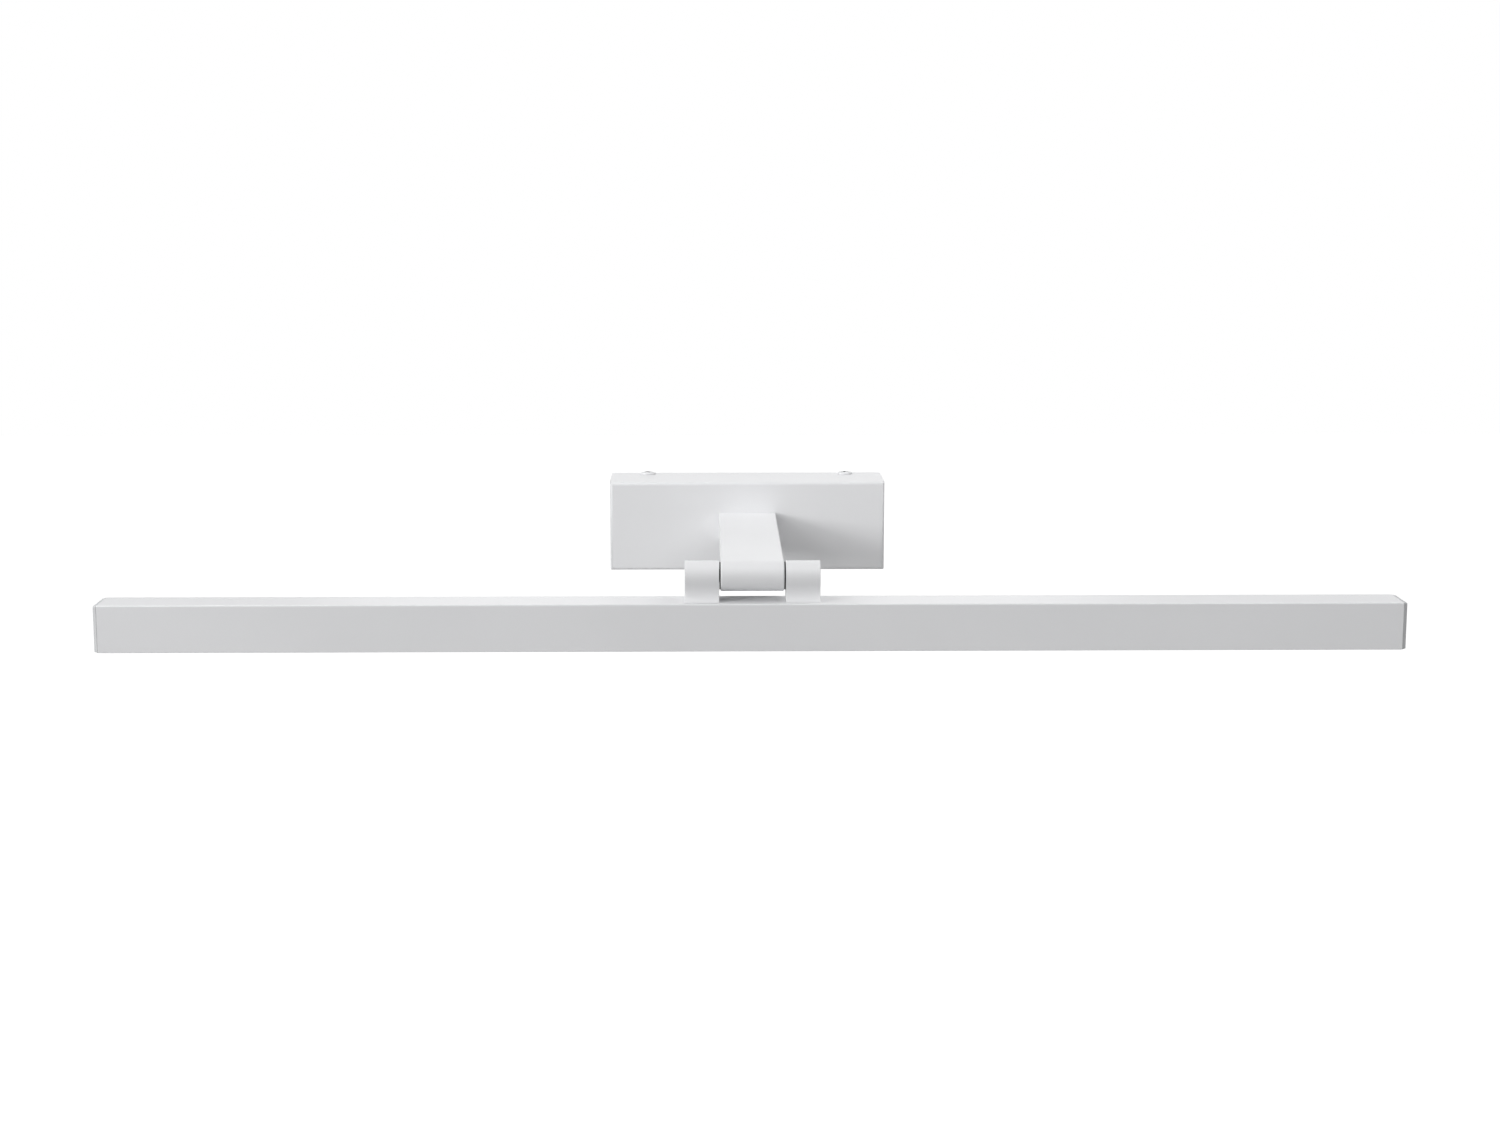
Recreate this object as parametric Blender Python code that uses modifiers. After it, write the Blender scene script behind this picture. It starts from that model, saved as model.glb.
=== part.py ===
"""Wall-mounted picture light: a slim LED bar on a fixed arm, carried by a small wall box.

Row frame: +X along the bar, +Y into the wall, +Z up, metres. The origin is the centre of the
wall bracket's back face, so everything stands in front of the wall at negative Y.
The bar tilts about a horizontal hinge at the arm's nose, along X.
"""

import math

import bmesh
import bpy
from mathutils import Matrix, Vector

MM = 0.001

# ---- driving dimensions, in millimetres ------------------------------------------------------
BAR_LENGTH = 600.0          # over the end caps
BAR_SIDE = 22.0             # square section of the bar
CAP_T = 1.6                 # end cap plate
WALL_T = 1.4                # bar side walls
TOP_T = 1.8                 # bar top wall
WEB_DROP = 7.5              # bar top face to the inner web's upper face
WEB_T = 1.5

BOX_W, BOX_H, BOX_D = 142.0, 46.0, 38.0   # wall box cover
SHEET = 1.2                 # cover sheet
BEND_R = 1.8                # outer radius of the cover's bends
BRACKET_T = 1.5
BRACKET_FLANGE = 14.0

ARM_LENGTH = 150.0          # cover's front face to the hinge axis
ARM_W = 29.2
BARREL_R = 7.0              # arm half thickness, and radius of nose and knuckles
HINGE_Y = -(BOX_D + ARM_LENGTH)
AXIS_DROP = 11.3            # hinge axis above the bar's top face
HINGE_GAP = 0.7             # arm side to knuckle
KNUCKLE_W = 15.8
WAIST = 11.0                # narrowest part of a knuckle, between its eye and its foot
FLANK_R = 6.0               # hollow flanks of the knuckles
BUSH_BORE_R = 4.05
PIN_R = 3.0
PIN_RUN = 3.05              # running bore round the pins

SCREW_X = 52.0              # cover screws
SCREW_Y = -5.5
WALL_SCREW_X = 63.0         # keyholes
CABLE_X = 50.0              # mains cable entry

BAR_TOP = -AXIS_DROP
BAR_BOTTOM = BAR_TOP - BAR_SIDE
KNUCKLE_IN = ARM_W / 2 + HINGE_GAP
KNUCKLE_OUT = KNUCKLE_IN + KNUCKLE_W
KNUCKLE_MID = (KNUCKLE_IN + KNUCKLE_OUT) / 2
KNUCKLE_SCREW_DX = 5.0
WEB_TOP = BAR_TOP - WEB_DROP
WEB_LOW = WEB_TOP - WEB_T
HOUSING_HALF = BAR_LENGTH / 2 - CAP_T - 0.1

for old in list(bpy.data.objects):
    bpy.data.objects.remove(old, do_unlink=True)

scene = bpy.context.scene
PARTS = bpy.data.collections.new("picture_light")
scene.collection.children.link(PARTS)
CUTTERS = bpy.data.collections.new("cutters")
CUTTERS.hide_render = True
scene.collection.children.link(CUTTERS)


# ---- materials -------------------------------------------------------------------------------
def material(name, colour, roughness, metallic=0.0):
    made = bpy.data.materials.new(name)
    made.use_nodes = True
    shader = made.node_tree.nodes["Principled BSDF"]
    shader.inputs["Base Color"].default_value = (*colour, 1.0)
    shader.inputs["Roughness"].default_value = roughness
    shader.inputs["Metallic"].default_value = metallic
    return made


WHITE_COAT = material("white_powder_coat", (0.86, 0.86, 0.86), 0.42)
WHITE_PLASTIC = material("white_plastic", (0.82, 0.82, 0.82), 0.45)
OPAL = material("opal_diffuser", (0.93, 0.93, 0.92), 0.35)
ZINC = material("zinc_plate", (0.62, 0.63, 0.65), 0.35, 1.0)
STEEL = material("bright_steel", (0.58, 0.58, 0.6), 0.25, 1.0)
BRASS = material("brass", (0.75, 0.6, 0.3), 0.3, 1.0)
NYLON = material("black_nylon", (0.03, 0.03, 0.032), 0.5)
RUBBER = material("black_rubber", (0.025, 0.025, 0.025), 0.75)
BOARD = material("white_solder_mask", (0.85, 0.86, 0.84), 0.4)
GREEN = material("green_board", (0.03, 0.2, 0.09), 0.45)
LEAD_WHITE = material("lead_white", (0.85, 0.85, 0.83), 0.5)
LEAD_BROWN = material("lead_brown", (0.16, 0.07, 0.03), 0.5)
LEAD_BLUE = material("lead_blue", (0.03, 0.12, 0.45), 0.5)
LEAD_EARTH = material("lead_earth", (0.2, 0.45, 0.05), 0.5)


# ---- shape tools -----------------------------------------------------------------------------
def add(name, mesh, mat=None, matrix=None, cutter=False):
    obj = bpy.data.objects.new(name, mesh)
    (CUTTERS if cutter else PARTS).objects.link(obj)
    if matrix is not None:
        obj.matrix_world = matrix
    if mat:
        mesh.materials.clear()
        mesh.materials.append(mat)
    if cutter:
        obj.hide_render = True
        obj.display_type = "WIRE"
    return obj


def at(x, y, z):
    return Matrix.Translation(Vector((x, y, z)) * MM)


def towards(x, y, z, direction):
    """A frame at the point whose local +Z runs along the direction."""
    turn = Vector(direction).normalized().to_track_quat("Z", "Y").to_matrix().to_4x4()
    return at(x, y, z) @ turn


def finish_mesh(obj):
    """Evaluates the object's modifiers into its own mesh."""
    bpy.context.view_layer.update()
    graph = bpy.context.evaluated_depsgraph_get()
    mesh = bpy.data.meshes.new_from_object(obj.evaluated_get(graph), depsgraph=graph)
    mesh.name = obj.name
    obj.modifiers.clear()
    obj.data = mesh
    return obj


def smooth(obj, degrees=35.0):
    obj.data.shade_smooth()
    obj.data.set_sharp_from_angle(angle=math.radians(degrees))
    return obj


def bevel(obj, width, segments=2, angle=40.0):
    mod = obj.modifiers.new("edges", "BEVEL")
    mod.width = width * MM
    mod.segments = segments
    mod.limit_method = "ANGLE"
    mod.angle_limit = math.radians(angle)
    mod.use_clamp_overlap = True
    return finish_mesh(obj)


def block(name, lo, hi, mat=None, edge=0.0, segments=2, cutter=False):
    """A box between two corners, with its edges rounded."""
    bm = bmesh.new()
    bmesh.ops.create_cube(bm, size=1.0)
    size = [(h - l) * MM for l, h in zip(lo, hi)]
    bmesh.ops.scale(bm, vec=size, verts=bm.verts)
    mesh = bpy.data.meshes.new(name)
    bm.to_mesh(mesh)
    bm.free()
    mid = [(l + h) / 2 for l, h in zip(lo, hi)]
    obj = add(name, mesh, mat, at(*mid), cutter)
    return bevel(obj, edge, segments) if edge else obj


def rod(name, start, end, radius, mat=None, segments=32, cutter=False):
    """A plain cylinder from one point to another."""
    a, b = Vector(start), Vector(end)
    bm = bmesh.new()
    bmesh.ops.create_cone(bm, cap_ends=True, cap_tris=False, segments=segments,
                          radius1=radius * MM, radius2=radius * MM, depth=(b - a).length * MM)
    mesh = bpy.data.meshes.new(name)
    bm.to_mesh(mesh)
    bm.free()
    return add(name, mesh, mat, towards(*((a + b) / 2), b - a), cutter)


def turned(name, profile, matrix, mat=None, steps=32, closed=False, cutter=False):
    """A turned shape about the local Z axis. The profile is (radius, height), top to bottom."""
    bm = bmesh.new()
    points = [bm.verts.new((r * MM, 0.0, h * MM)) for r, h in profile]
    for a, b in zip(points, points[1:]):
        bm.edges.new((a, b))
    if closed:
        bm.edges.new((points[-1], points[0]))
    mesh = bpy.data.meshes.new(name)
    bm.to_mesh(mesh)
    bm.free()
    obj = add(name, mesh, mat, matrix, cutter)
    mod = obj.modifiers.new("turn", "SCREW")
    mod.steps = steps
    mod.render_steps = steps
    mod.use_merge_vertices = True
    mod.merge_threshold = 0.00001
    return finish_mesh(obj)


ALONG_X = Matrix(((0, 0, 1, 0), (1, 0, 0, 0), (0, 1, 0, 0), (0, 0, 0, 1)))   # outline in Y, Z
ALONG_Y = Matrix(((1, 0, 0, 0), (0, 0, -1, 0), (0, 1, 0, 0), (0, 0, 0, 1)))  # outline in X, Z


def prism(name, outlines, middle, half, turn, mat=None, cutter=False):
    """Flat outlines (the first one outer, others holes) extruded both ways from the middle."""
    curve = bpy.data.curves.new(name, "CURVE")
    curve.dimensions = "2D"
    curve.fill_mode = "BOTH"
    curve.extrude = half * MM
    for outline in outlines:
        spline = curve.splines.new("POLY")
        spline.points.add(len(outline) - 1)
        for point, (u, v) in zip(spline.points, outline):
            point.co = (u * MM, v * MM, 0.0, 1.0)
        spline.use_cyclic_u = True
    guide = bpy.data.objects.new(name + "_outline", curve)
    CUTTERS.objects.link(guide)
    guide.matrix_world = at(*middle) @ turn
    bpy.context.view_layer.update()
    graph = bpy.context.evaluated_depsgraph_get()
    mesh = bpy.data.meshes.new_from_object(guide.evaluated_get(graph), depsgraph=graph)
    bm = bmesh.new()
    bm.from_mesh(mesh)
    bmesh.ops.remove_doubles(bm, verts=bm.verts, dist=1e-6)
    bmesh.ops.dissolve_limit(bm, angle_limit=0.001, verts=bm.verts, edges=bm.edges)
    bmesh.ops.recalc_face_normals(bm, faces=bm.faces)
    bm.to_mesh(mesh)
    bm.free()
    mesh.name = name
    obj = add(name, mesh, mat, guide.matrix_world.copy(), cutter)
    bpy.data.objects.remove(guide, do_unlink=True)
    return obj


def boolean(obj, tool, operation):
    mod = obj.modifiers.new(operation.lower(), "BOOLEAN")
    mod.operation = operation
    mod.object = tool
    mod.solver = "EXACT"
    finish_mesh(obj)
    bpy.data.objects.remove(tool, do_unlink=True)
    return obj


def cut(obj, *tools):
    for tool in tools:
        boolean(obj, tool, "DIFFERENCE")
    return obj


def join(obj, *others):
    for other in others:
        boolean(obj, other, "UNION")
    return obj


def hole(start, end, radius, segments=24):
    return rod("hole", start, end, radius, segments=segments, cutter=True)


def slot_block(lo, hi):
    return block("slot", lo, hi, cutter=True)


def arc(cx, cy, r, a0, a1, n):
    """Points on an arc, degrees, both ends included."""
    return [(cx + r * math.cos(math.radians(a0 + (a1 - a0) * i / n)),
             cy + r * math.sin(math.radians(a0 + (a1 - a0) * i / n))) for i in range(n + 1)]


def rounded(points, radii, n=3):
    """A polygon with its corners rounded, by tangent arcs."""
    out = []
    count = len(points)
    for i, (p, r) in enumerate(zip(points, radii)):
        if r <= 0:
            out.append(p)
            continue
        c = Vector(p)
        a = (Vector(points[i - 1]) - c).normalized()
        b = (Vector(points[(i + 1) % count]) - c).normalized()
        half = a.angle(b) / 2
        reach = r / math.tan(half)
        centre = c + (a + b).normalized() * (r / math.sin(half))
        s, e = c + a * reach - centre, c + b * reach - centre
        turn = s.angle_signed(e)
        for k in range(n + 1):
            t = -turn * k / n
            v = Vector((s.x * math.cos(t) - s.y * math.sin(t), s.x * math.sin(t) + s.y * math.cos(t)))
            out.append(tuple(centre + v))
    return out


def lead(name, points, radius, mat, rounds=1):
    """A flexible lead: a poly line, rounded at its turns, with a round section and closed ends."""
    curve = bpy.data.curves.new(name, "CURVE")
    curve.dimensions = "3D"
    curve.bevel_depth = radius * MM
    curve.bevel_resolution = 2
    curve.use_fill_caps = True
    path = chaikin([Vector(p) for p in points], rounds)
    spline = curve.splines.new("POLY")
    spline.points.add(len(path) - 1)
    for point, p in zip(spline.points, path):
        point.co = (*(p * MM), 1.0)
    obj = bpy.data.objects.new(name, curve)
    curve.materials.append(mat)
    PARTS.objects.link(obj)
    return obj


def chaikin(points, rounds):
    """Corner cutting, ends kept."""
    for _ in range(rounds):
        out = [points[0]]
        for i in range(len(points) - 1):
            a, b = points[i], points[i + 1]
            if i > 0:
                out.append(a.lerp(b, 0.25))
            if i < len(points) - 2:
                out.append(a.lerp(b, 0.75))
        out.append(points[-1])
        points = out
    return points


# ---- fasteners -------------------------------------------------------------------------------
def pan_screw_mesh(name, head_r, head_h, shank_r, shank_l, cross=0.0, steps=20, countersunk=False):
    """A screw whose head sits on z = 0 and whose shank runs down from it. cross is the recess span."""
    if countersunk:
        profile = [(0, 0), (head_r, 0), (head_r, -0.25), (shank_r, -0.25 - (head_r - shank_r)),
                   (shank_r, -shank_l + 0.4), (shank_r - 0.35, -shank_l), (0, -shank_l)]
        top = 0.0
    else:
        profile = [(0, head_h), (head_r * 0.45, head_h * 0.97), (head_r * 0.8, head_h * 0.78),
                   (head_r, head_h * 0.38), (head_r, 0), (shank_r, 0),
                   (shank_r, -shank_l + 0.4), (shank_r - 0.35, -shank_l), (0, -shank_l)]
        top = head_h
    obj = turned(name, profile, Matrix.Identity(4), steps=steps)
    if cross:
        w, depth = cross * 0.2, min(0.62 * max(head_h, 1.6), 1.3)
        tool = block("cross_a", (-cross / 2, -w / 2, top - depth), (cross / 2, w / 2, top + 1), cutter=True)
        tool = join(tool, block("cross_b", (-w / 2, -cross / 2, top - depth), (w / 2, cross / 2, top + 1.01), cutter=True))
        cut(obj, tool)
    mesh = obj.data
    bpy.data.objects.remove(obj, do_unlink=True)
    mesh.shade_smooth()
    mesh.set_sharp_from_angle(angle=math.radians(35))
    return mesh


def place_screw(name, mesh, point, out_of_head, mat):
    """Puts a screw with its head's seat on the point and its head facing along out_of_head."""
    obj = bpy.data.objects.new(name, mesh)
    PARTS.objects.link(obj)
    obj.matrix_world = towards(*point, out_of_head)
    if not mesh.materials:
        mesh.materials.append(mat)
    return obj


COVER_SCREW = pan_screw_mesh("cover_screw", 4.1, 1.4, 2.0, 6.5, cross=3.6, steps=18)
ARM_SCREW = pan_screw_mesh("arm_screw", 3.9, 2.4, 2.0, 11.0, cross=3.6, steps=12)
SMALL_SCREW = pan_screw_mesh("small_screw", 2.75, 1.7, 1.5, 3.4, cross=2.6, steps=12)
KNUCKLE_SCREW = pan_screw_mesh("knuckle_screw", 2.75, 1.7, 1.5, 7.9, cross=2.6, steps=12)
LED_SCREW = pan_screw_mesh("led_screw", 2.2, 1.4, 1.25, 3.9, cross=2.0, steps=12)
FLAT_SCREW = pan_screw_mesh("flat_screw", 2.8, 0.0, 1.4, 7.0, cross=2.8, steps=12, countersunk=True)


# ==== wall box ================================================================================
# The bracket is one folded strip: a back plate with a flange along its top and bottom edges.
half_h = BOX_H / 2 - SHEET - 0.3
half_w = BOX_W / 2 - SHEET - 0.5
f, t = BRACKET_FLANGE, BRACKET_T
outline = rounded(
    [(0, -half_h), (0, half_h), (-f, half_h), (-f, half_h - t), (-t, half_h - t),
     (-t, -half_h + t), (-f, -half_h + t), (-f, -half_h)],
    [2.0, 2.0, 0, 0, 0.6, 0.6, 0, 0], 3)
bracket = prism("wall_bracket", [outline], (0, 0, 0), half_w, ALONG_X, ZINC)
for sx in (-1, 1):
    x = sx * WALL_SCREW_X
    keyhole = arc(x, -4.5, 4.2, 123.2, 416.8, 18) + arc(x, 4.0, 2.3, 0, 180, 8)
    cut(bracket, prism("keyhole", [keyhole], (0, 0, 0), 5, ALONG_Y, cutter=True))
    cut(bracket, hole((sx * SCREW_X, SCREW_Y, -30), (sx * SCREW_X, SCREW_Y, 30), 2.15, 20))
cut(bracket, hole((CABLE_X, -5, 0), (CABLE_X, 5, 0), 5.7, 32))
DRIVER_EARS = (-53.0, 23.0)
for x, z in [(DRIVER_EARS[0], 0), (DRIVER_EARS[1], 0), (35.5, 4.0), (57.0, -14.0)]:
    cut(bracket, hole((x, -5, z), (x, 5, z), 1.65, 16))
smooth(bracket)

# The cover is a folded shell that slides over the bracket and touches the wall. Its four sides are
# bent back from the front sheet, so the bends are round and the seams between the sides are sharp.
bm = bmesh.new()
bmesh.ops.create_cube(bm, size=1.0)
bmesh.ops.scale(bm, vec=(BOX_W * MM, (BOX_D - 0.2) * MM, BOX_H * MM), verts=bm.verts)
back = [face for face in bm.faces if face.normal.y > 0.9]
bmesh.ops.delete(bm, geom=back, context="FACES_ONLY")
folds = bm.edges.layers.float.new("bevel_weight_edge")
for edge in bm.edges:
    if all(vert.co.y < 0 for vert in edge.verts):
        edge[folds] = 1.0
mesh = bpy.data.meshes.new("cover")
bm.to_mesh(mesh)
bm.free()
cover = add("cover", mesh, WHITE_COAT, at(0, -(BOX_D + 0.2) / 2, 0))
mod = cover.modifiers.new("bends", "BEVEL")
mod.width = BEND_R * MM
mod.segments = 3
mod.limit_method = "WEIGHT"
mod = cover.modifiers.new("sheet", "SOLIDIFY")
mod.thickness = SHEET * MM
mod.offset = -1.0
mod.use_even_offset = True
finish_mesh(cover)
ARM_SCREW_X = 8.5
for sx in (-1, 1):
    cut(cover, hole((sx * SCREW_X, SCREW_Y, -30), (sx * SCREW_X, SCREW_Y, 30), 2.2, 20))
    cut(cover, hole((sx * ARM_SCREW_X, -BOX_D - 2, 0), (sx * ARM_SCREW_X, -BOX_D + 4, 0), 2.2, 20))
cut(cover, hole((0, -BOX_D - 2, 0), (0, -BOX_D + 4, 0), 3.0, 24))
smooth(cover)

for label, sz in (("top", 1), ("bottom", -1)):
    for side, sx in (("left", -1), ("right", 1)):
        place_screw(f"cover_screw_{label}_{side}", COVER_SCREW,
                    (sx * SCREW_X, SCREW_Y, sz * (BOX_H / 2 + 0.05)), (0, 0, sz), WHITE_COAT)

# Rubber grommet in the cable entry: two lips and a groove that holds the plate.
grommet = turned("cable_grommet",
                 [(3.7, 0.0), (3.4, -1.2), (3.7, -3.6), (5.0, -4.0), (7.4, -3.6), (7.6, -2.8), (7.4, -1.9),
                  (5.45, -1.7), (5.45, -0.15), (5.3, 0.0)][::-1],
                 towards(CABLE_X, -0.05, 0, (0, 1, 0)), RUBBER, steps=28, closed=True)
smooth(grommet)

# Three-pole terminal block with its clamp screws.
terminal = block("terminal_block", (29, -15.4, -13), (42, -1.8, 13), WHITE_PLASTIC, 0.6, 1)
POLES = (-8.0, 0.0, 8.0)
for z in POLES:
    cut(terminal, hole((27, -8.6, z), (44, -8.6, z), 1.7, 12))
    for x in (32.2, 38.8):
        cut(terminal, hole((x, -8.6, z), (x, -17, z), 1.75, 12))
cut(terminal, hole((35.5, 0, 4.0), (35.5, -17, 4.0), 1.35, 14))
cut(terminal, hole((35.5, -13.4, 4.0), (35.5, -17, 4.0), 2.1, 16))
n = 0
for z in POLES:
    for x in (32.2, 38.8):
        n += 1
        clamp = rod(f"terminal_screw_{n}", (x, -9.8, z), (x, -13.0, z), 1.55, BRASS, 12)
        cut(clamp, slot_block((x - 2, -13.2, z - 0.25), (x + 2, -12.2, z + 0.25)))
        smooth(clamp)
mount = turned("terminal_mount_screw",
               [(0, 1.3), (1.3, 1.1), (1.9, 0.5), (1.9, 0), (1.15, 0), (1.15, -12.6), (0, -13.0)],
               towards(35.5, -13.45, 4.0, (0, -1, 0)), STEEL, steps=12)
smooth(mount)

# Driver: a potted-style case with ears, its board, and a lid that faces the cover.
DX0, DX1, DZ, DY0, DY1 = -50.0, 20.0, 15.0, -1.9, -21.9
case = block("driver_case", (DX0, DY1, -DZ), (DX1, DY0, DZ), WHITE_PLASTIC, 1.0, 1)
for x, x2 in ((DX0 - 6.5, DX0 + 1), (DX1 - 1, DX1 + 6.5)):
    join(case, block("ear", (x, -3.9, -5.0), (x2, DY0 - 0.001, 5.0), None, cutter=True))
cut(case, slot_block((DX0 + 1.5, DY1 - 2, -DZ + 1.5), (DX1 - 1.5, DY0 - 1.6, DZ - 1.5)))
for x in DRIVER_EARS:
    cut(case, hole((x, -6, 0), (x, 1, 0), 1.7, 16))
cut(case, hole((DX0 - 3, -12, 0), (DX0 + 4, -12, 0), 1.5, 14))
for z in (-5.0, 5.0):
    cut(case, hole((DX1 - 4, -12, z), (DX1 + 3, -12, z), 1.3, 14))
smooth(case)
lid = block("driver_lid", (DX0 + 0.1, -23.4, -DZ + 0.1), (DX1 - 0.1, -22.0, DZ - 0.1), WHITE_PLASTIC, 0.5, 1)
join(lid, block("lid_rim", (DX0 + 1.8, -22.3, -DZ + 1.8), (DX1 - 1.8, -20.4, DZ - 1.8), cutter=True))
cut(lid, slot_block((DX0 + 3.0, -22.2, -DZ + 3.0), (DX1 - 3.0, -19.0, DZ - 3.0)))
smooth(lid)
board = block("driver_board", (DX0 + 2.2, -6.2, -12.8), (DX1 - 2.2, -4.6, 12.8), GREEN)
for lo, hi in (((-14, -18.5, -8), (2, -6.1, 8)), ((-38, -12.5, -9), (-31, -6.1, 9)),
               ((-27, -11, 1), (-20, -6.1, 9)), ((8, -10.5, -4), (13, -6.1, 4))):
    join(board, block("component", lo, hi, None, 0.6, 1, cutter=True))
for x, z, r, h in ((-22.5, -6.5, 4.0, 12.0), (9.5, 9.0, 2.6, 8.0), (-43.0, 0.0, 3.0, 9.0)):
    join(board, rod("can", (x, -6.1, z), (x, -6.1 - h, z), r, segments=18, cutter=True))
smooth(board)
for label, x in zip(("left", "right"), DRIVER_EARS):
    place_screw(f"driver_screw_{label}", SMALL_SCREW, (x, -3.95, 0), (0, -1, 0), STEEL)

# Mains leads between terminal and driver, and the protective earth with its ring tag.
lead("live_lead", [(33.5, -8.6, 8), (27, -8.6, 8), (24.5, -11.5, 5.4), (22.5, -12, 5), (15.5, -12, 5)], 0.95, LEAD_BROWN)
lead("neutral_lead", [(33.5, -8.6, -8), (27, -8.6, -8), (24.5, -11.5, -5.4), (22.5, -12, -5), (15.5, -12, -5)], 0.95, LEAD_BLUE)
lead("earth_lead", [(37.5, -8.6, 0), (43.4, -8.6, 0), (44.6, -8.4, -5), (44.8, -7.0, -11), (46.5, -4.6, -14), (50.9, -3.0, -14)], 0.95, LEAD_EARTH)
tag = rod("earth_tag", (57, -1.8, -14), (57, -2.6, -14), 3.4, BRASS, 20)
join(tag, block("tail", (51.4, -2.6, -15.3), (54.8, -1.8, -12.7), cutter=True))
cut(tag, hole((57, 0, -14), (57, -4, -14), 1.75, 16))
smooth(tag)
place_screw("earth_screw", pan_screw_mesh("earth_screw", 2.75, 1.7, 1.5, 2.3, cross=2.6, steps=12),
            (57, -2.7, -14), (0, -1, 0), BRASS)

# Steel plate behind the cover's front sheet, where the arm is bolted on.
backing = prism("arm_backing_plate",
                [rounded([(-18, -13), (18, -13), (18, 13), (-18, 13)], [2.5] * 4, 3)],
                (0, -35.55, 0), 1.0, ALONG_Y, ZINC)
cut(backing, hole((0, -40, 0), (0, -30, 0), 3.0, 24))
for sx in (-1, 1):
    cut(backing, hole((sx * ARM_SCREW_X, -40, 0), (sx * ARM_SCREW_X, -30, 0), 2.2, 20))
smooth(backing)
for side, sx in (("left", -1), ("right", 1)):
    place_screw(f"arm_screw_{side}", ARM_SCREW, (sx * ARM_SCREW_X, -34.5, 0), (0, 1, 0), STEEL)


# ==== arm =====================================================================================
# A straight flat arm with a round nose. It is open underneath, so that the lead can be laid in,
# and a thin plate closes it. The nose holds the hinge bushes.
ROOT = -BOX_D - 0.1
R = BARREL_R
arm = prism("arm",
            [[(ROOT, -R), (ROOT, R)] + arc(HINGE_Y, 0, R, 90, 270, 28)],
            (0, 0, 0), ARM_W / 2, ALONG_X, WHITE_COAT)
bevel(arm, 0.5, 1, 50)
POCKET_Y0, POCKET_Y1 = ROOT - 8.0, HINGE_Y + 10.0
INNER = ARM_W / 2 - 2.0
cut(arm, slot_block((-INNER, POCKET_Y1, -R - 2), (INNER, POCKET_Y0, R - 2.0)))
BOSS_Y = (-72.0, -154.0)
for y in BOSS_Y:
    join(arm, rod("boss", (0, y, R - 1.0), (0, y, -5.3), 3.2, segments=20, cutter=True))
    cut(arm, hole((0, y, -8), (0, y, 1.5), 1.65, 16))
cut(arm, hole((-30, HINGE_Y, 0), (30, HINGE_Y, 0), BUSH_BORE_R, 36))
cut(arm, slot_block((-4.5, HINGE_Y + 2, -2.2), (4.5, POCKET_Y1 + 1, 2.2)))
cut(arm, hole((0, ROOT + 2, 0), (0, POCKET_Y0 - 2, 0), 2.6, 20))
for sx in (-1, 1):
    cut(arm, hole((sx * ARM_SCREW_X, ROOT + 2, 0), (sx * ARM_SCREW_X, ROOT - 7.4, 0), 2.15, 16))
smooth(arm)

plate = block("arm_bottom_plate", (-INNER + 0.15, POCKET_Y1 + 0.15, -R + 0.15), (INNER - 0.15, POCKET_Y0 - 0.15, -R + 1.55), WHITE_COAT, 0.25, 1)
for y in BOSS_Y:
    cut(plate, turned("countersink", [(0, 1.0), (3.0, 1.0), (3.0, 0.1), (3.0, -0.3), (1.6, -1.7), (1.6, -4), (0, -4)],
                      towards(0, y, -R + 0.15, (0, 0, -1)), steps=16, cutter=True))
smooth(plate)
for label, y in zip(("rear", "front"), BOSS_Y):
    place_screw(f"arm_plate_screw_{label}", FLAT_SCREW, (0, y, -R + 0.2), (0, 0, -1), STEEL)

# Flanged nylon bushes: each one lines half the nose and its flange spaces the knuckle.
for side, sx in (("left", -1), ("right", 1)):
    bush = turned(f"hinge_bush_{side}",
                  [(PIN_RUN, 0.55), (6.4, 0.55), (6.4, 0.05), (3.98, 0.05), (3.98, -8.0), (PIN_RUN, -8.0)],
                  towards(sx * ARM_W / 2, HINGE_Y, 0, (sx, 0, 0)), NYLON, steps=36, closed=True)
    smooth(bush)

# Low-voltage lead from the driver's output end, through the arm, to the hinge axis.
lead("arm_lead",
     [(-46, -12, 0), (-55, -12, 0), (-58, -14, 0), (-58, -26, 0), (-55, -29, 0), (-8, -29, 0), (-2, -29.6, 0),
      (0, -33, 0), (0, -37, 0), (0, -50, 0), (5.2, -60, 0), (5.2, -166, 0), (0.2, -176, 0), (0, -183, 0),
      (0.6, -187.2, 0), (2.4, HINGE_Y, 0), (5.0, HINGE_Y, 0)], 1.1, LEAD_WHITE)


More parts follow.
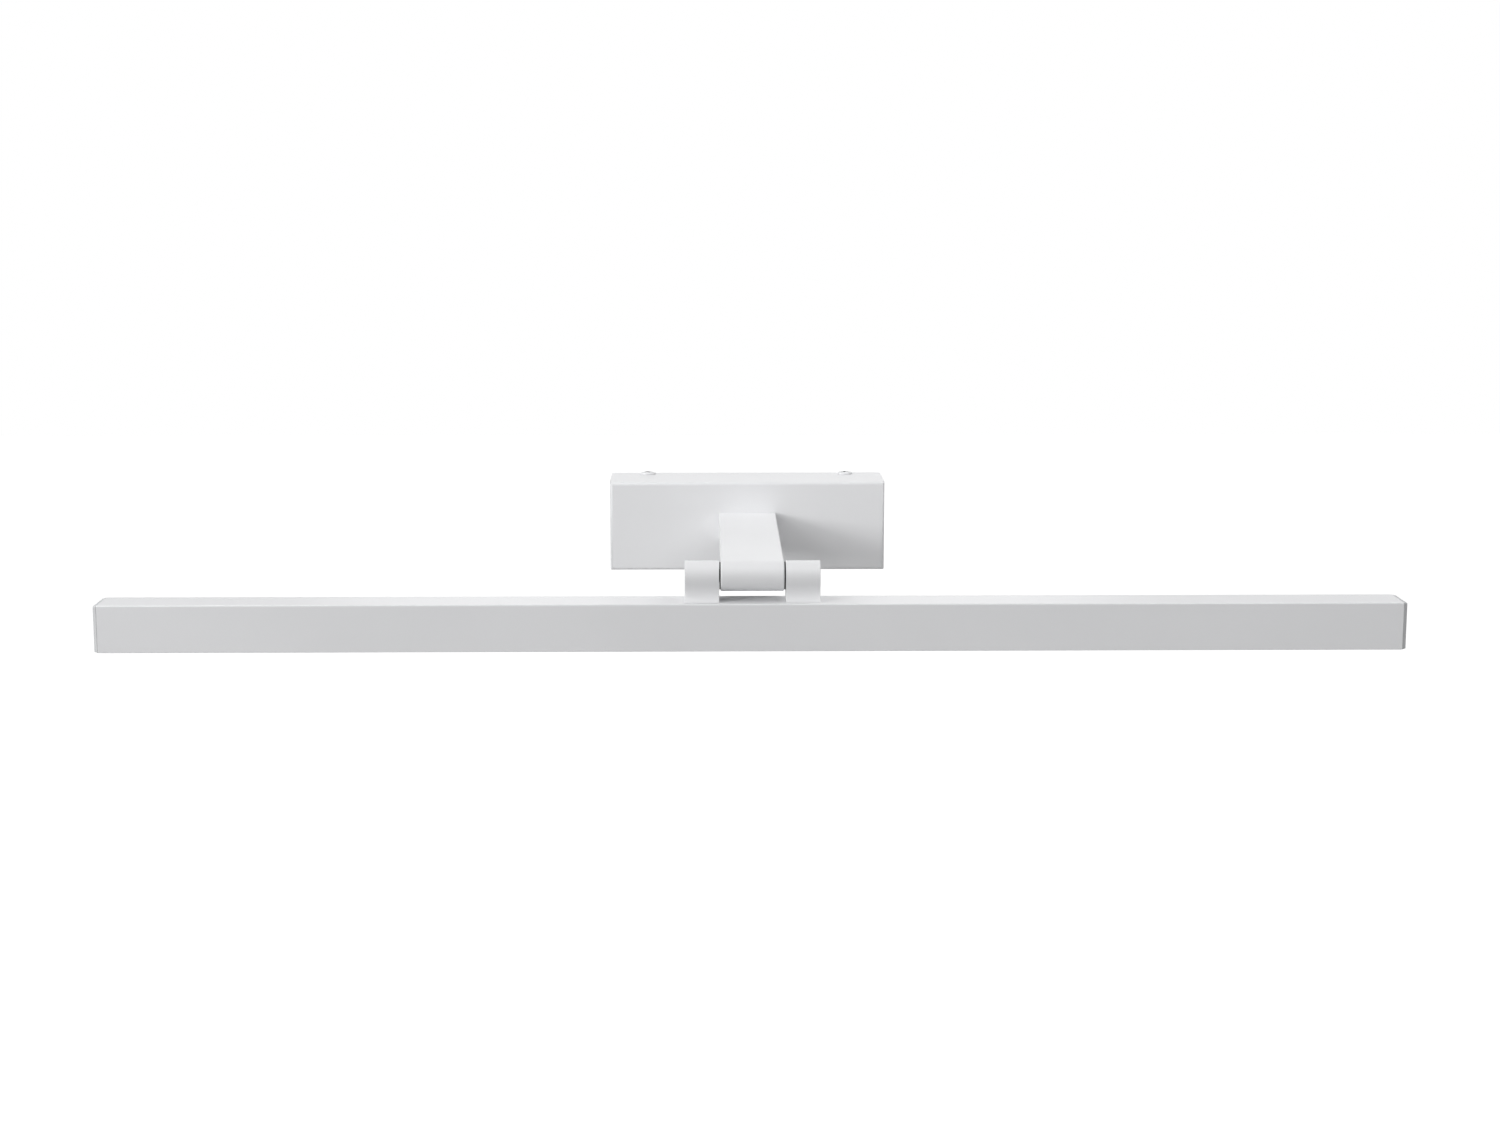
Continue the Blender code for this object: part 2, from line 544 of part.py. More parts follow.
# ==== lamp head ===============================================================================
# Knuckle: a round eye that runs through hollow flanks into a foot. It stands on the bar.
FOOT = BAR_TOP + 0.1
flank_y = WAIST / 2 + FLANK_R
flank_z = math.sqrt((R + FLANK_R) ** 2 - flank_y ** 2)
start = math.degrees(math.atan2(-flank_z, flank_y))
end = math.degrees(math.asin((flank_z + FOOT) / FLANK_R))
eye = arc(0, 0, R, start, 180 - start, 36)
left_flank = arc(-flank_y, -flank_z, FLANK_R, -start, end, 8)
right_flank = arc(flank_y, -flank_z, FLANK_R, 180 - end, 180 + start, 8)
knuckle_outline = eye + left_flank[1:] + right_flank[:-1]
for side, sx in (("left", -1), ("right", 1)):
    mid = sx * KNUCKLE_MID
    knuckle = prism(f"knuckle_{side}", [knuckle_outline], (mid, HINGE_Y, 0), KNUCKLE_W / 2, ALONG_X, WHITE_COAT)
    bevel(knuckle, 0.4, 1, 60)
    cut(knuckle, hole((mid - 12, HINGE_Y, 0), (mid + 12, HINGE_Y, 0), PIN_RUN, 36))
    for dx in (-KNUCKLE_SCREW_DX, KNUCKLE_SCREW_DX):
        cut(knuckle, hole((mid + dx, HINGE_Y, BAR_TOP - 2), (mid + dx, HINGE_Y, -4.9), 1.6, 16))
    cut(knuckle, hole((mid, HINGE_Y, BAR_TOP - 2), (mid, HINGE_Y, -1.0), 1.65, 16))
    grub_x = sx * (KNUCKLE_OUT - 3.2)
    cut(knuckle, hole((grub_x, HINGE_Y + 1.0, 0), (grub_x, HINGE_Y + 9.0, 0), 1.55, 16))
    smooth(knuckle)
    grub = rod(f"hinge_grub_screw_{side}", (grub_x, HINGE_Y + 3.1, 0), (grub_x, HINGE_Y + 6.4, 0), 1.42, STEEL, 16)
    cut(grub, rod("hex", (grub_x, HINGE_Y + 4.8, 0), (grub_x, HINGE_Y + 7, 0), 0.85, segments=6, cutter=True))
    smooth(grub)
    inner, outer = sx * (ARM_W / 2 - 7.6), sx * (KNUCKLE_OUT - 0.4)
    pin = turned(f"hinge_pin_{side}",
                 [(0, 0), (PIN_R - 0.4, 0), (PIN_R, -0.4), (PIN_R, -(abs(outer) - abs(inner)) + 0.3),
                  (PIN_R - 0.3, -(abs(outer) - abs(inner))), (0, -(abs(outer) - abs(inner)))],
                 towards(outer, HINGE_Y, 0, (sx, 0, 0)), STEEL, steps=36)
    cut(pin, rod("hex", (outer - sx * 1.9, HINGE_Y, 0), (outer + sx * 1.0, HINGE_Y, 0), 1.75, segments=6, cutter=True))
    if sx > 0:
        # The lead comes in along the axis and leaves downwards through the knuckle.
        cut(pin, hole((inner - 1, HINGE_Y, 0), (KNUCKLE_MID + 2.3, HINGE_Y, 0), 2.1, 24))
        cut(pin, hole((KNUCKLE_MID, HINGE_Y, 0.1), (KNUCKLE_MID, HINGE_Y, -5), 1.65, 16))
    smooth(pin)
    for label, dx in (("inner", -sx * KNUCKLE_SCREW_DX), ("outer", sx * KNUCKLE_SCREW_DX)):
        place_screw(f"knuckle_screw_{side}_{label}", KNUCKLE_SCREW,
                    (mid + dx, HINGE_Y, BAR_TOP - TOP_T - 0.05), (0, 0, -1), STEEL)

# Bar housing: an extruded section. A closed upper chamber carries screws and lead, a web carries
# the LED boards, and the lower channel is open downwards for the diffuser.
s = BAR_SIDE / 2
i = s - WALL_T
top, bot = BAR_TOP, BAR_BOTTOM
rt, rb = bot + 4.7, bot + 3.9
outer_path = rounded(
    [(-s, bot), (-i, bot), (-i, rb), (-i + 0.5, rb + 0.15), (-i + 0.5, rt - 0.15), (-i, rt), (-i, WEB_LOW),
     (i, WEB_LOW), (i, rt), (i - 0.5, rt - 0.15), (i - 0.5, rb + 0.15), (i, rb), (i, bot), (s, bot), (s, top), (-s, top)],
    [0.3, 0.3, 0, 0, 0, 0, 0.5, 0.5, 0, 0, 0, 0, 0.3, 0.3, 0.7, 0.7], 3)
chamber = rounded([(-i, WEB_TOP), (i, WEB_TOP), (i, top - TOP_T), (-i, top - TOP_T)], [0.8] * 4, 2)
housing = prism("bar_housing", [outer_path, chamber], (0, HINGE_Y, 0), HOUSING_HALF, ALONG_X, WHITE_COAT)
LED_SCREW_X = (54.0, 246.0)
for sx in (-1, 1):
    for dx in (-KNUCKLE_SCREW_DX, KNUCKLE_SCREW_DX):
        x = sx * KNUCKLE_MID + dx
        cut(housing, hole((x, HINGE_Y, top + 1), (x, HINGE_Y, top - TOP_T - 1), 1.7, 16))
        cut(housing, hole((x, HINGE_Y, WEB_TOP + 1), (x, HINGE_Y, WEB_LOW - 1), 3.4, 20))
    cut(housing, hole((sx * KNUCKLE_MID, HINGE_Y, top + 1), (sx * KNUCKLE_MID, HINGE_Y, top - TOP_T - 1), 1.65, 16))
    for x in LED_SCREW_X:
        cut(housing, hole((sx * x, HINGE_Y, WEB_TOP + 1), (sx * x, HINGE_Y, WEB_LOW - 1), 1.4, 14))
cut(housing, hole((0, HINGE_Y, WEB_TOP + 1), (0, HINGE_Y, WEB_LOW - 1), 1.9, 20))
smooth(housing)

# End caps: chamfered plates with two plugs that press into the section.
for side, sx in (("left", -1), ("right", 1)):
    x_in, x_out = sx * (BAR_LENGTH / 2 - CAP_T), sx * BAR_LENGTH / 2
    cap = block(f"end_cap_{side}", (min(x_in, x_out), HINGE_Y - s, bot), (max(x_in, x_out), HINGE_Y + s, top), WHITE_PLASTIC)
    # the four edges of the outer face are chamfered
    tool = None
    c = 0.6
    frame = [((-s, top), (s, top)), ((s, top), (s, bot)), ((s, bot), (-s, bot)), ((-s, bot), (-s, top))]
    bm = bmesh.new()
    bm.from_mesh(cap.data)
    edges = [e for e in bm.edges if all(v.co.x * sx > 0 for v in e.verts)]
    bmesh.ops.bevel(bm, geom=edges, offset=c * MM, offset_type="OFFSET", segments=1, affect="EDGES", profile=0.5)
    bm.to_mesh(cap.data)
    bm.free()
    deep = x_in - sx * 6.0
    lo, hi = min(deep, x_in + sx * 0.4), max(deep, x_in + sx * 0.4)
    join(cap, block("plug_a", (lo, HINGE_Y - i + 0.2, WEB_TOP + 0.2), (hi, HINGE_Y + i - 0.2, top - TOP_T - 0.2), None, 0.4, 1, cutter=True))
    join(cap, block("plug_b", (lo, HINGE_Y - 7.2, bot + 6.4), (hi, HINGE_Y + 7.2, WEB_LOW - 2.4), None, 0.4, 1, cutter=True))
    smooth(cap, 30)

# LED boards: an aluminium-backed strip each side of the middle, with a row of emitters below.
BOARD_T, BOARD_W = 1.2, 12.0
b_top = WEB_LOW - 0.1
b_low = b_top - BOARD_T
PITCH, COUNT = 12.0, 24
for side, sx in (("left", -1), ("right", 1)):
    lo, hi = sorted((sx * 3.0, sx * 291.5))
    board = block(f"led_board_{side}", (lo, HINGE_Y - BOARD_W / 2, b_top - BOARD_T), (hi, HINGE_Y + BOARD_W / 2, b_top), BOARD)
    bm = bmesh.new()
    for k in range(COUNT):
        made = bmesh.ops.create_cube(bm, size=1.0)["verts"]
        bmesh.ops.scale(bm, vec=(3.5 * MM, 2.8 * MM, 0.9 * MM), verts=made)
        bmesh.ops.translate(bm, vec=Vector((sx * (PITCH * (k + 1)), HINGE_Y, b_low - 0.3)) * MM, verts=made)
    mesh = bpy.data.meshes.new("emitters")
    bm.to_mesh(mesh)
    bm.free()
    join(board, add("emitters", mesh, None, None, cutter=True))
    for x in LED_SCREW_X:
        cut(board, hole((sx * x, HINGE_Y, b_top + 1), (sx * x, HINGE_Y, b_low - 1), 1.4, 14))
        place_screw(f"led_board_screw_{side}_{'inner' if x < 100 else 'outer'}", LED_SCREW,
                    (sx * x, HINGE_Y, b_low - 0.05), (0, 0, -1), STEEL)

link = block("board_connector", (-8.0, HINGE_Y - 2.6, b_low - 2.6), (8.0, HINGE_Y + 2.6, b_low - 0.1), WHITE_PLASTIC, 0.4, 1)
cut(link, slot_block((-1.6, HINGE_Y - 1.6, b_low - 1.4), (1.6, HINGE_Y + 1.6, b_low + 1)))
smooth(link)

# Diffuser: an opal channel with barbed legs that click behind the housing's ridges.
lo_y, leg, barb = i - 0.2, i - 0.75, i - 0.25
diffuser_outline = rounded(
    [(-lo_y, bot + 0.1), (lo_y, bot + 0.1), (lo_y, bot + 1.7), (leg, bot + 2.2), (leg, rt + 0.15), (barb, rt + 0.35),
     (leg - 0.2, rt + 1.5), (leg - 1.2, rt + 1.5), (leg - 1.2, bot + 1.8), (-leg + 1.2, bot + 1.8), (-leg + 1.2, rt + 1.5),
     (-leg + 0.2, rt + 1.5), (-barb, rt + 0.35), (-leg, rt + 0.15), (-leg, bot + 2.2), (-lo_y, bot + 1.7)],
    [0.4, 0.4, 0, 0, 0, 0, 0, 0, 0.5, 0.5, 0, 0, 0, 0, 0, 0], 2)
diffuser = prism("diffuser", [diffuser_outline], (0, HINGE_Y, 0), HOUSING_HALF - 0.2, ALONG_X, OPAL)
smooth(diffuser)

# Lead inside the head: along the hinge axis, down the right-hand knuckle, back to the middle of the
# bar, and through the web to the connector.
k = KNUCKLE_MID
lead("head_lead",
     [(5.4, HINGE_Y, 0), (k - 2.4, HINGE_Y, 0), (k - 0.6, HINGE_Y, -0.5), (k, HINGE_Y, -2.6), (k, HINGE_Y, -14.0),
      (k - 0.6, HINGE_Y, -16.2), (k - 3.0, HINGE_Y, -17.0), (3.0, HINGE_Y, -17.0), (0.5, HINGE_Y, -17.7),
      (0, HINGE_Y, -19.6), (0, HINGE_Y, b_low - 0.9)], 1.05, LEAD_WHITE)

bpy.context.view_layer.update()
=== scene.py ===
"""Looks of the picture light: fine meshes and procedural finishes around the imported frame.

Everything is in metres in the row frame: +X along the bar, +Y into the wall, +Z up, and the wall
bracket's back face at the origin. Sizes and places are read from the frame's boxes.
"""

import math

import bmesh
import bpy
from mathutils import Matrix, Vector


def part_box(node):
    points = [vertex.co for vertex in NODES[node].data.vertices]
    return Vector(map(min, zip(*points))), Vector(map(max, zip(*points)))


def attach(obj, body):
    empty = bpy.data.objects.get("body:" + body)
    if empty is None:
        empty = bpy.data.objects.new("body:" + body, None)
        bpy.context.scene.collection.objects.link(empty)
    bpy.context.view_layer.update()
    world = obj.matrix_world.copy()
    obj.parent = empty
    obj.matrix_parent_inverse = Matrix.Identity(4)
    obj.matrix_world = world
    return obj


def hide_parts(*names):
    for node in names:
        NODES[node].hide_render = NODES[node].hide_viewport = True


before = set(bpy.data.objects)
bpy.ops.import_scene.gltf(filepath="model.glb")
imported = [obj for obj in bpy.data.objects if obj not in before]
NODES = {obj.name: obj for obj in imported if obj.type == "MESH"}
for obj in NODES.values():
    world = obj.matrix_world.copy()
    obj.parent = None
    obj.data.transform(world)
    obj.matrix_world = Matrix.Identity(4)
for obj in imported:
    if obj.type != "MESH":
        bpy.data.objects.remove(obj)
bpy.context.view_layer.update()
WALL, HEAD = "wall_mount", "lamp_head"
MM = 0.001
SCENE = bpy.context.scene


def span(node):
    lo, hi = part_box(node)
    return lo * 1000, hi * 1000


# ---- sizes read from the frame, in millimetres --------------------------------------------------
cover_lo, cover_hi = span("cover")
arm_lo, arm_hi = span("arm")
plate_lo, plate_hi = span("arm_bottom_plate")
knuckle_lo, knuckle_hi = span("knuckle_right")
bar_lo, bar_hi = span("bar_housing")
cap_lo, cap_hi = span("end_cap_right")
diff_lo, diff_hi = span("diffuser")
screw_lo, screw_hi = span("cover_screw_top_right")
bush_lo, bush_hi = span("hinge_bush_right")
pin_lo, pin_hi = span("hinge_pin_right")
bracket_lo, bracket_hi = span("wall_bracket")
grommet_lo, grommet_hi = span("cable_grommet")
board_lo, board_hi = span("led_board_right")

R = (arm_hi.z - arm_lo.z) / 2                 # nose and knuckle radius
HINGE_Y = arm_lo.y + R
HINGE_Z = (arm_hi.z + arm_lo.z) / 2
ARM_HALF = arm_hi.x
ROOT = arm_hi.y
BAR_TOP, BAR_BOTTOM = bar_hi.z, bar_lo.z
BAR_HALF = (bar_hi.y - bar_lo.y) / 2
KNUCKLE_MID = (knuckle_lo.x + knuckle_hi.x) / 2
KNUCKLE_HALF = (knuckle_hi.x - knuckle_lo.x) / 2
SCREW_X = (screw_lo.x + screw_hi.x) / 2
SCREW_Y = (screw_lo.y + screw_hi.y) / 2
SCREW_R = (screw_hi.x - screw_lo.x) / 2
ARM_SCREW_X = 8.5
SHEET = 1.2
BEND = 1.8
WALL_T, TOP_T, WEB_DROP, WEB_T = 1.4, 1.8, 7.5, 1.5
WEB_TOP = BAR_TOP - WEB_DROP
WEB_LOW = WEB_TOP - WEB_T


# ==== materials ==================================================================================
class Nodes:
    """A small helper that writes a node tree and places its nodes in columns."""

    def __init__(self, name, colour, roughness, metallic=0.0):
        self.mat = bpy.data.materials.new(name)
        self.mat.use_nodes = True
        self.tree = self.mat.node_tree
        self.shader = self.tree.nodes["Principled BSDF"]
        self.set(self.shader, "Base Color", (*colour, 1.0))
        self.set(self.shader, "Roughness", roughness)
        self.set(self.shader, "Metallic", metallic)
        self.column = 0
        self.coords = self.add("ShaderNodeTexCoord").outputs["Object"]

    def add(self, kind, **values):
        node = self.tree.nodes.new(kind)
        self.column += 1
        node.location = (-1400 + 170 * (self.column % 8), -220 * (self.column // 8))
        for key, value in values.items():
            setattr(node, key, value)
        return node

    def set(self, node, socket, value):
        node.inputs[socket].default_value = value

    def link(self, a, b):
        self.tree.links.new(a, b)

    def stretch(self, x, y, z, source=None):
        node = self.add("ShaderNodeMapping")
        self.set(node, "Scale", (x, y, z))
        self.link(source or self.coords, node.inputs["Vector"])
        return node.outputs["Vector"]

    def noise(self, scale, detail=2.0, rough=0.5, distortion=0.0, vector=None):
        node = self.add("ShaderNodeTexNoise")
        self.set(node, "Scale", scale)
        self.set(node, "Detail", detail)
        self.set(node, "Roughness", rough)
        self.set(node, "Distortion", distortion)
        self.link(vector or self.coords, node.inputs["Vector"])
        return node.outputs["Fac"]

    def voronoi(self, scale, feature="F1", vector=None, output="Distance"):
        node = self.add("ShaderNodeTexVoronoi", feature=feature)
        self.set(node, "Scale", scale)
        self.link(vector or self.coords, node.inputs["Vector"])
        return node.outputs[output]

    def ramp(self, source, *stops, ease="EASE"):
        node = self.add("ShaderNodeValToRGB")
        node.color_ramp.interpolation = ease
        points = node.color_ramp.elements
        while len(points) < len(stops):
            points.new(0.5)
        for point, (place, colour) in zip(points, stops):
            point.position = place
            point.color = (*colour, 1.0) if len(colour) == 3 else colour
        self.link(source, node.inputs["Fac"])
        return node.outputs["Color"]

    def remap(self, source, a, b, c, d):
        node = self.add("ShaderNodeMapRange")
        for key, value in (("From Min", a), ("From Max", b), ("To Min", c), ("To Max", d)):
            self.set(node, key, value)
        self.link(source, node.inputs["Value"])
        return node.outputs["Result"]

    def maths(self, operation, a, b=None):
        node = self.add("ShaderNodeMath", operation=operation)
        for socket, value in zip(node.inputs, (a, b)):
            if value is None:
                continue
            if isinstance(value, (int, float)):
                socket.default_value = value
            else:
                self.link(value, socket)
        return node.outputs["Value"]

    def mix(self, factor, a, b, blend="MIX"):
        node = self.add("ShaderNodeMix", data_type="RGBA", blend_type=blend)
        for socket, value in zip((node.inputs[0], node.inputs[6], node.inputs[7]), (factor, a, b)):
            if isinstance(value, (int, float)):
                socket.default_value = value
            elif isinstance(value, tuple):
                socket.default_value = (*value, 1.0)
            else:
                self.link(value, socket)
        return node.outputs[2]

    def bump(self, height, depth_mm, strength=1.0, normal=None):
        node = self.add("ShaderNodeBump")
        self.set(node, "Distance", depth_mm * MM)
        self.set(node, "Strength", strength)
        self.link(height, node.inputs["Height"])
        if normal is not None:
            self.link(normal, node.inputs["Normal"])
        return node.outputs["Normal"]

    def out(self, colour=None, roughness=None, normal=None):
        for socket, value in (("Base Color", colour), ("Roughness", roughness), ("Normal", normal)):
            if value is not None:
                self.link(value, self.shader.inputs[socket])
        return self.mat


def shade(colour, k):
    return tuple(max(0.0, min(1.0, c * k)) for c in colour)


def powder_coat(name, colour=(0.848, 0.852, 0.865)):
    """Satin powder coat: orange peel about a millimetre wide, finer grain on it, and faint clouds."""
    n = Nodes(name, colour, 0.34)
    n.set(n.shader, "Specular IOR Level", 0.5)
    clouds = n.noise(11.0, 3.0, 0.55)
    grain = n.noise(2600.0, 2.0, 0.6)
    base = n.ramp(clouds, (0.3, shade(colour, 0.985)), (0.7, shade(colour, 1.012)))
    base = n.mix(n.remap(grain, 0.35, 0.7, 0.0, 0.35), base, shade(colour, 0.965))
    peel = n.noise(820.0, 2.5, 0.45, 0.25)
    rough = n.remap(n.maths("ADD", n.maths("MULTIPLY", peel, 0.6), n.maths("MULTIPLY", grain, 0.4)), 0.3, 0.7, 0.29, 0.4)
    first = n.bump(peel, 0.012, 0.9)
    normal = n.bump(grain, 0.0025, 0.8, first)
    return n.out(base, rough, normal)


def moulded_plastic(name, colour, roughness=0.46, spark=1900.0, depth=0.004):
    """Injection moulded plastic with a fine spark-eroded texture and slow flow clouds."""
    n = Nodes(name, colour, roughness)
    n.set(n.shader, "Subsurface Weight", 0.04)
    n.set(n.shader, "Subsurface Radius", (0.002, 0.002, 0.002))
    n.set(n.shader, "Subsurface Scale", 1.0)
    flow = n.noise(38.0, 3.0, 0.5, 0.6)
    cells = n.voronoi(spark, "SMOOTH_F1")
    base = n.ramp(flow, (0.3, shade(colour, 0.975)), (0.7, shade(colour, 1.015)))
    base = n.mix(n.remap(cells, 0.1, 0.7, 0.0, 0.12), base, shade(colour, 0.93))
    rough = n.remap(cells, 0.0, 0.8, roughness - 0.06, roughness + 0.08)
    return n.out(base, rough, n.bump(cells, depth, 0.8))


def opal(name):
    """Opal extruded diffuser: milky, with faint lines along its length from the die."""
    colour = (0.9, 0.905, 0.9)
    n = Nodes(name, colour, 0.34)
    n.set(n.shader, "Subsurface Weight", 0.35)
    n.set(n.shader, "Subsurface Radius", (0.004, 0.004, 0.0042))
    n.set(n.shader, "Subsurface Scale", 1.0)
    n.set(n.shader, "IOR", 1.49)
    drawn = n.noise(420.0, 2.0, 0.6, 0.0, n.stretch(0.006, 1.0, 1.0))
    haze = n.noise(24.0, 2.0, 0.5)
    base = n.ramp(haze, (0.3, shade(colour, 0.985)), (0.7, shade(colour, 1.01)))
    base = n.mix(n.remap(drawn, 0.4, 0.7, 0.0, 0.2), base, shade(colour, 0.97))
    rough = n.remap(drawn, 0.3, 0.7, 0.29, 0.4)
    return n.out(base, rough, n.bump(drawn, 0.004, 0.6))


def zinc(name, colour=(0.6, 0.615, 0.635)):
    """Zinc plated sheet: overlapping pale and blue-grey patches with a fine rolled grain."""
    n = Nodes(name, colour, 0.36, 1.0)
    patches = n.voronoi(150.0, "F1", output="Color")
    tone = n.add("ShaderNodeRGBToBW")
    n.link(patches, tone.inputs["Color"])
    clouds = n.noise(70.0, 4.0, 0.6, 1.0)
    both = n.maths("ADD", n.maths("MULTIPLY", tone.outputs["Val"], 0.35), n.maths("MULTIPLY", clouds, 0.65))
    base = n.ramp(both, (0.28, shade(colour, 0.84)), (0.5, colour), (0.62, (0.6, 0.625, 0.66)), (0.75, shade(colour, 1.12)))
    rolled = n.noise(900.0, 2.0, 0.6, 0.0, n.stretch(0.02, 1.0, 1.0))
    rough = n.remap(n.maths("ADD", n.maths("MULTIPLY", both, 0.7), n.maths("MULTIPLY", rolled, 0.3)), 0.3, 0.7, 0.28, 0.46)
    return n.out(base, rough, n.bump(rolled, 0.003, 0.7))


def turned_metal(name, colour, roughness=0.27):
    """Turned and plated metal: fine tool marks and small pits."""
    n = Nodes(name, colour, roughness, 1.0)
    marks = n.noise(2400.0, 3.0, 0.65, 0.0, n.stretch(1.0, 0.15, 1.0))
    clouds = n.noise(240.0, 3.0, 0.55)
    base = n.ramp(clouds, (0.3, shade(colour, 0.88)), (0.7, shade(colour, 1.08)))
    rough = n.remap(n.maths("ADD", n.maths("MULTIPLY", marks, 0.5), n.maths("MULTIPLY", clouds, 0.5)),
                    0.35, 0.65, roughness - 0.07, roughness + 0.12)
    return n.out(base, rough, n.bump(marks, 0.002, 0.7))


def dark_polymer(name, colour, roughness, scale=1500.0, depth=0.006):
    n = Nodes(name, colour, roughness)
    speck = n.noise(scale, 3.0, 0.6)
    dust = n.noise(170.0, 3.0, 0.5)
    base = n.ramp(dust, (0.35, shade(colour, 0.8)), (0.75, shade(colour, 1.5)))
    rough = n.remap(speck, 0.3, 0.7, roughness - 0.08, roughness + 0.1)
    return n.out(base, rough, n.bump(speck, depth, 0.8))


def insulation(name, colour, stripe=None):
    """Lead insulation: slightly soft, with a fine grain. The earth lead has a stripe wound round it."""
    n = Nodes(name, colour, 0.5)
    grain = n.noise(1300.0, 2.0, 0.55)
    base = n.ramp(n.noise(140.0, 2.0), (0.3, shade(colour, 0.9)), (0.7, shade(colour, 1.1)))
    if stripe:
        wave = n.add("ShaderNodeTexWave", wave_type="BANDS", bands_direction="DIAGONAL")
        n.set(wave, "Scale", 95.0)
        n.link(n.coords, wave.inputs["Vector"])
        base = n.mix(n.ramp(wave.outputs["Fac"], (0.46, (0, 0, 0)), (0.54, (1, 1, 1))), base, stripe)
    rough = n.remap(grain, 0.3, 0.7, 0.42, 0.58)
    return n.out(base, rough, n.bump(grain, 0.006, 0.7))


def solder_mask(name, colour, trace, weave=0.35):
    """Circuit board: coated face with copper tracks showing through as slightly raised, tinted bands."""
    n = Nodes(name, colour, 0.38)
    tracks = n.add("ShaderNodeTexBrick", offset=0.5, squash=1.0)
    n.set(tracks, "Scale", 90.0)
    n.set(tracks, "Mortar Size", 0.06)
    n.set(tracks, "Mortar Smooth", 0.3)
    n.set(tracks, "Color1", (0, 0, 0, 1))
    n.set(tracks, "Color2", (0, 0, 0, 1))
    n.set(tracks, "Mortar", (1, 1, 1, 1))
    n.link(n.stretch(1.0, 1.3, 1.3), tracks.inputs["Vector"])
    cloth = n.noise(1400.0, 2.0, 0.5)
    base = n.mix(n.maths("MULTIPLY", tracks.outputs["Fac"], 0.8), colour, trace)
    base = n.mix(n.remap(cloth, 0.4, 0.7, 0.0, weave * 0.4), base, shade(colour, 0.85))
    rough = n.remap(cloth, 0.3, 0.7, 0.3, 0.46)
    normal = n.bump(tracks.outputs["Fac"], 0.03, 0.7)
    return n.out(base, rough, n.bump(cloth, 0.004, 0.6, normal))


COAT = powder_coat("powder_coat_white")
COAT_SCREW = powder_coat("powder_coat_on_screw", (0.83, 0.835, 0.845))
CAP_WHITE = moulded_plastic("cap_plastic_white", (0.66, 0.67, 0.68))
PLASTIC = moulded_plastic("plastic_white", (0.8, 0.8, 0.79), 0.42, 1500.0)
OPAL = opal("opal_diffuser")
ZINC = zinc("zinc_plated_sheet")
STEEL = turned_metal("turned_steel", (0.58, 0.585, 0.6))
# Painted shade: a dark steel for the screw recesses, far darker than the turned steel, standing in for the shade inside
# them.
RECESS_SHADE_STEEL = turned_metal("recess_painted_shade_dark", (0.16, 0.16, 0.17), 0.42)
BRASS = turned_metal("turned_brass", (0.78, 0.6, 0.28), 0.3)
NYLON = dark_polymer("nylon_black", (0.016, 0.016, 0.018), 0.48)
RUBBER = dark_polymer("rubber_black", (0.022, 0.022, 0.022), 0.72, 900.0, 0.012)
MASK_WHITE = solder_mask("solder_mask_white", (0.82, 0.83, 0.81), (0.74, 0.75, 0.72))
MASK_GREEN = solder_mask("solder_mask_green", (0.022, 0.16, 0.07), (0.05, 0.3, 0.12))
LEAD_WHITE = insulation("insulation_white", (0.8, 0.8, 0.78))
LEAD_BROWN = insulation("insulation_brown", (0.13, 0.055, 0.025))
LEAD_BLUE = insulation("insulation_blue", (0.025, 0.11, 0.42))
LEAD_EARTH = insulation("insulation_earth", (0.07, 0.32, 0.05), (0.8, 0.68, 0.04))


# ==== mesh tools =================================================================================
def at(x, y, z):
    return Matrix.Translation(Vector((x, y, z)) * MM)


def towards(x, y, z, direction):
    turn = Vector(direction).normalized().to_track_quat("Z", "Y").to_matrix().to_4x4()
    return at(x, y, z) @ turn


def piece(name, mesh, matrix=None):
    obj = bpy.data.objects.new(name, mesh)
    SCENE.collection.objects.link(obj)
    if matrix is not None:
        obj.matrix_world = matrix
    return obj


def settle(obj):
    """Evaluates the modifiers and moves the place into the vertices, so that patterns run in metres."""
    bpy.context.view_layer.update()
    graph = bpy.context.evaluated_depsgraph_get()
    mesh = bpy.data.meshes.new_from_object(obj.evaluated_get(graph), depsgraph=graph)
    mesh.transform(obj.matrix_world)
    mesh.name = obj.name
    obj.modifiers.clear()
    obj.matrix_world = Matrix.Identity(4)
    obj.data = mesh
    return obj


def from_bmesh(name, bm, matrix=None):
    mesh = bpy.data.meshes.new(name)
    bm.to_mesh(mesh)
    bm.free()
    return piece(name, mesh, matrix)


def box_mesh(name, lo, hi):
    bm = bmesh.new()
    bmesh.ops.create_cube(bm, size=1.0)
    bmesh.ops.scale(bm, vec=[(h - l) * MM for l, h in zip(lo, hi)], verts=bm.verts)
    return settle(from_bmesh(name, bm, at(*[(l + h) / 2 for l, h in zip(lo, hi)])))


def rod(name, start, end, radius, segments=64, radius2=None):
    a, b = Vector(start), Vector(end)
    bm = bmesh.new()
    bmesh.ops.create_cone(bm, cap_ends=True, cap_tris=False, segments=segments, radius1=radius * MM,
                          radius2=(radius if radius2 is None else radius2) * MM, depth=(b - a).length * MM)
    return settle(from_bmesh(name, bm, towards(*((a + b) / 2), b - a)))


def turned(name, profile, matrix, steps=64, closed=False):
    """A turned shape about local Z. The profile is (radius, height), top to bottom."""
    bm = bmesh.new()
    points = [bm.verts.new((r * MM, 0.0, h * MM)) for r, h in profile]
    for a, b in zip(points, points[1:]):
        bm.edges.new((a, b))
    if closed:
        bm.edges.new((points[-1], points[0]))
    obj = from_bmesh(name, bm, matrix)
    mod = obj.modifiers.new("turn", "SCREW")
    mod.steps = mod.render_steps = steps
    mod.use_merge_vertices = True
    mod.merge_threshold = 1e-6
    return settle(obj)


ALONG_X = Matrix(((0, 0, 1, 0), (1, 0, 0, 0), (0, 1, 0, 0), (0, 0, 0, 1)))
ALONG_Y = Matrix(((1, 0, 0, 0), (0, 0, -1, 0), (0, 1, 0, 0), (0, 0, 0, 1)))


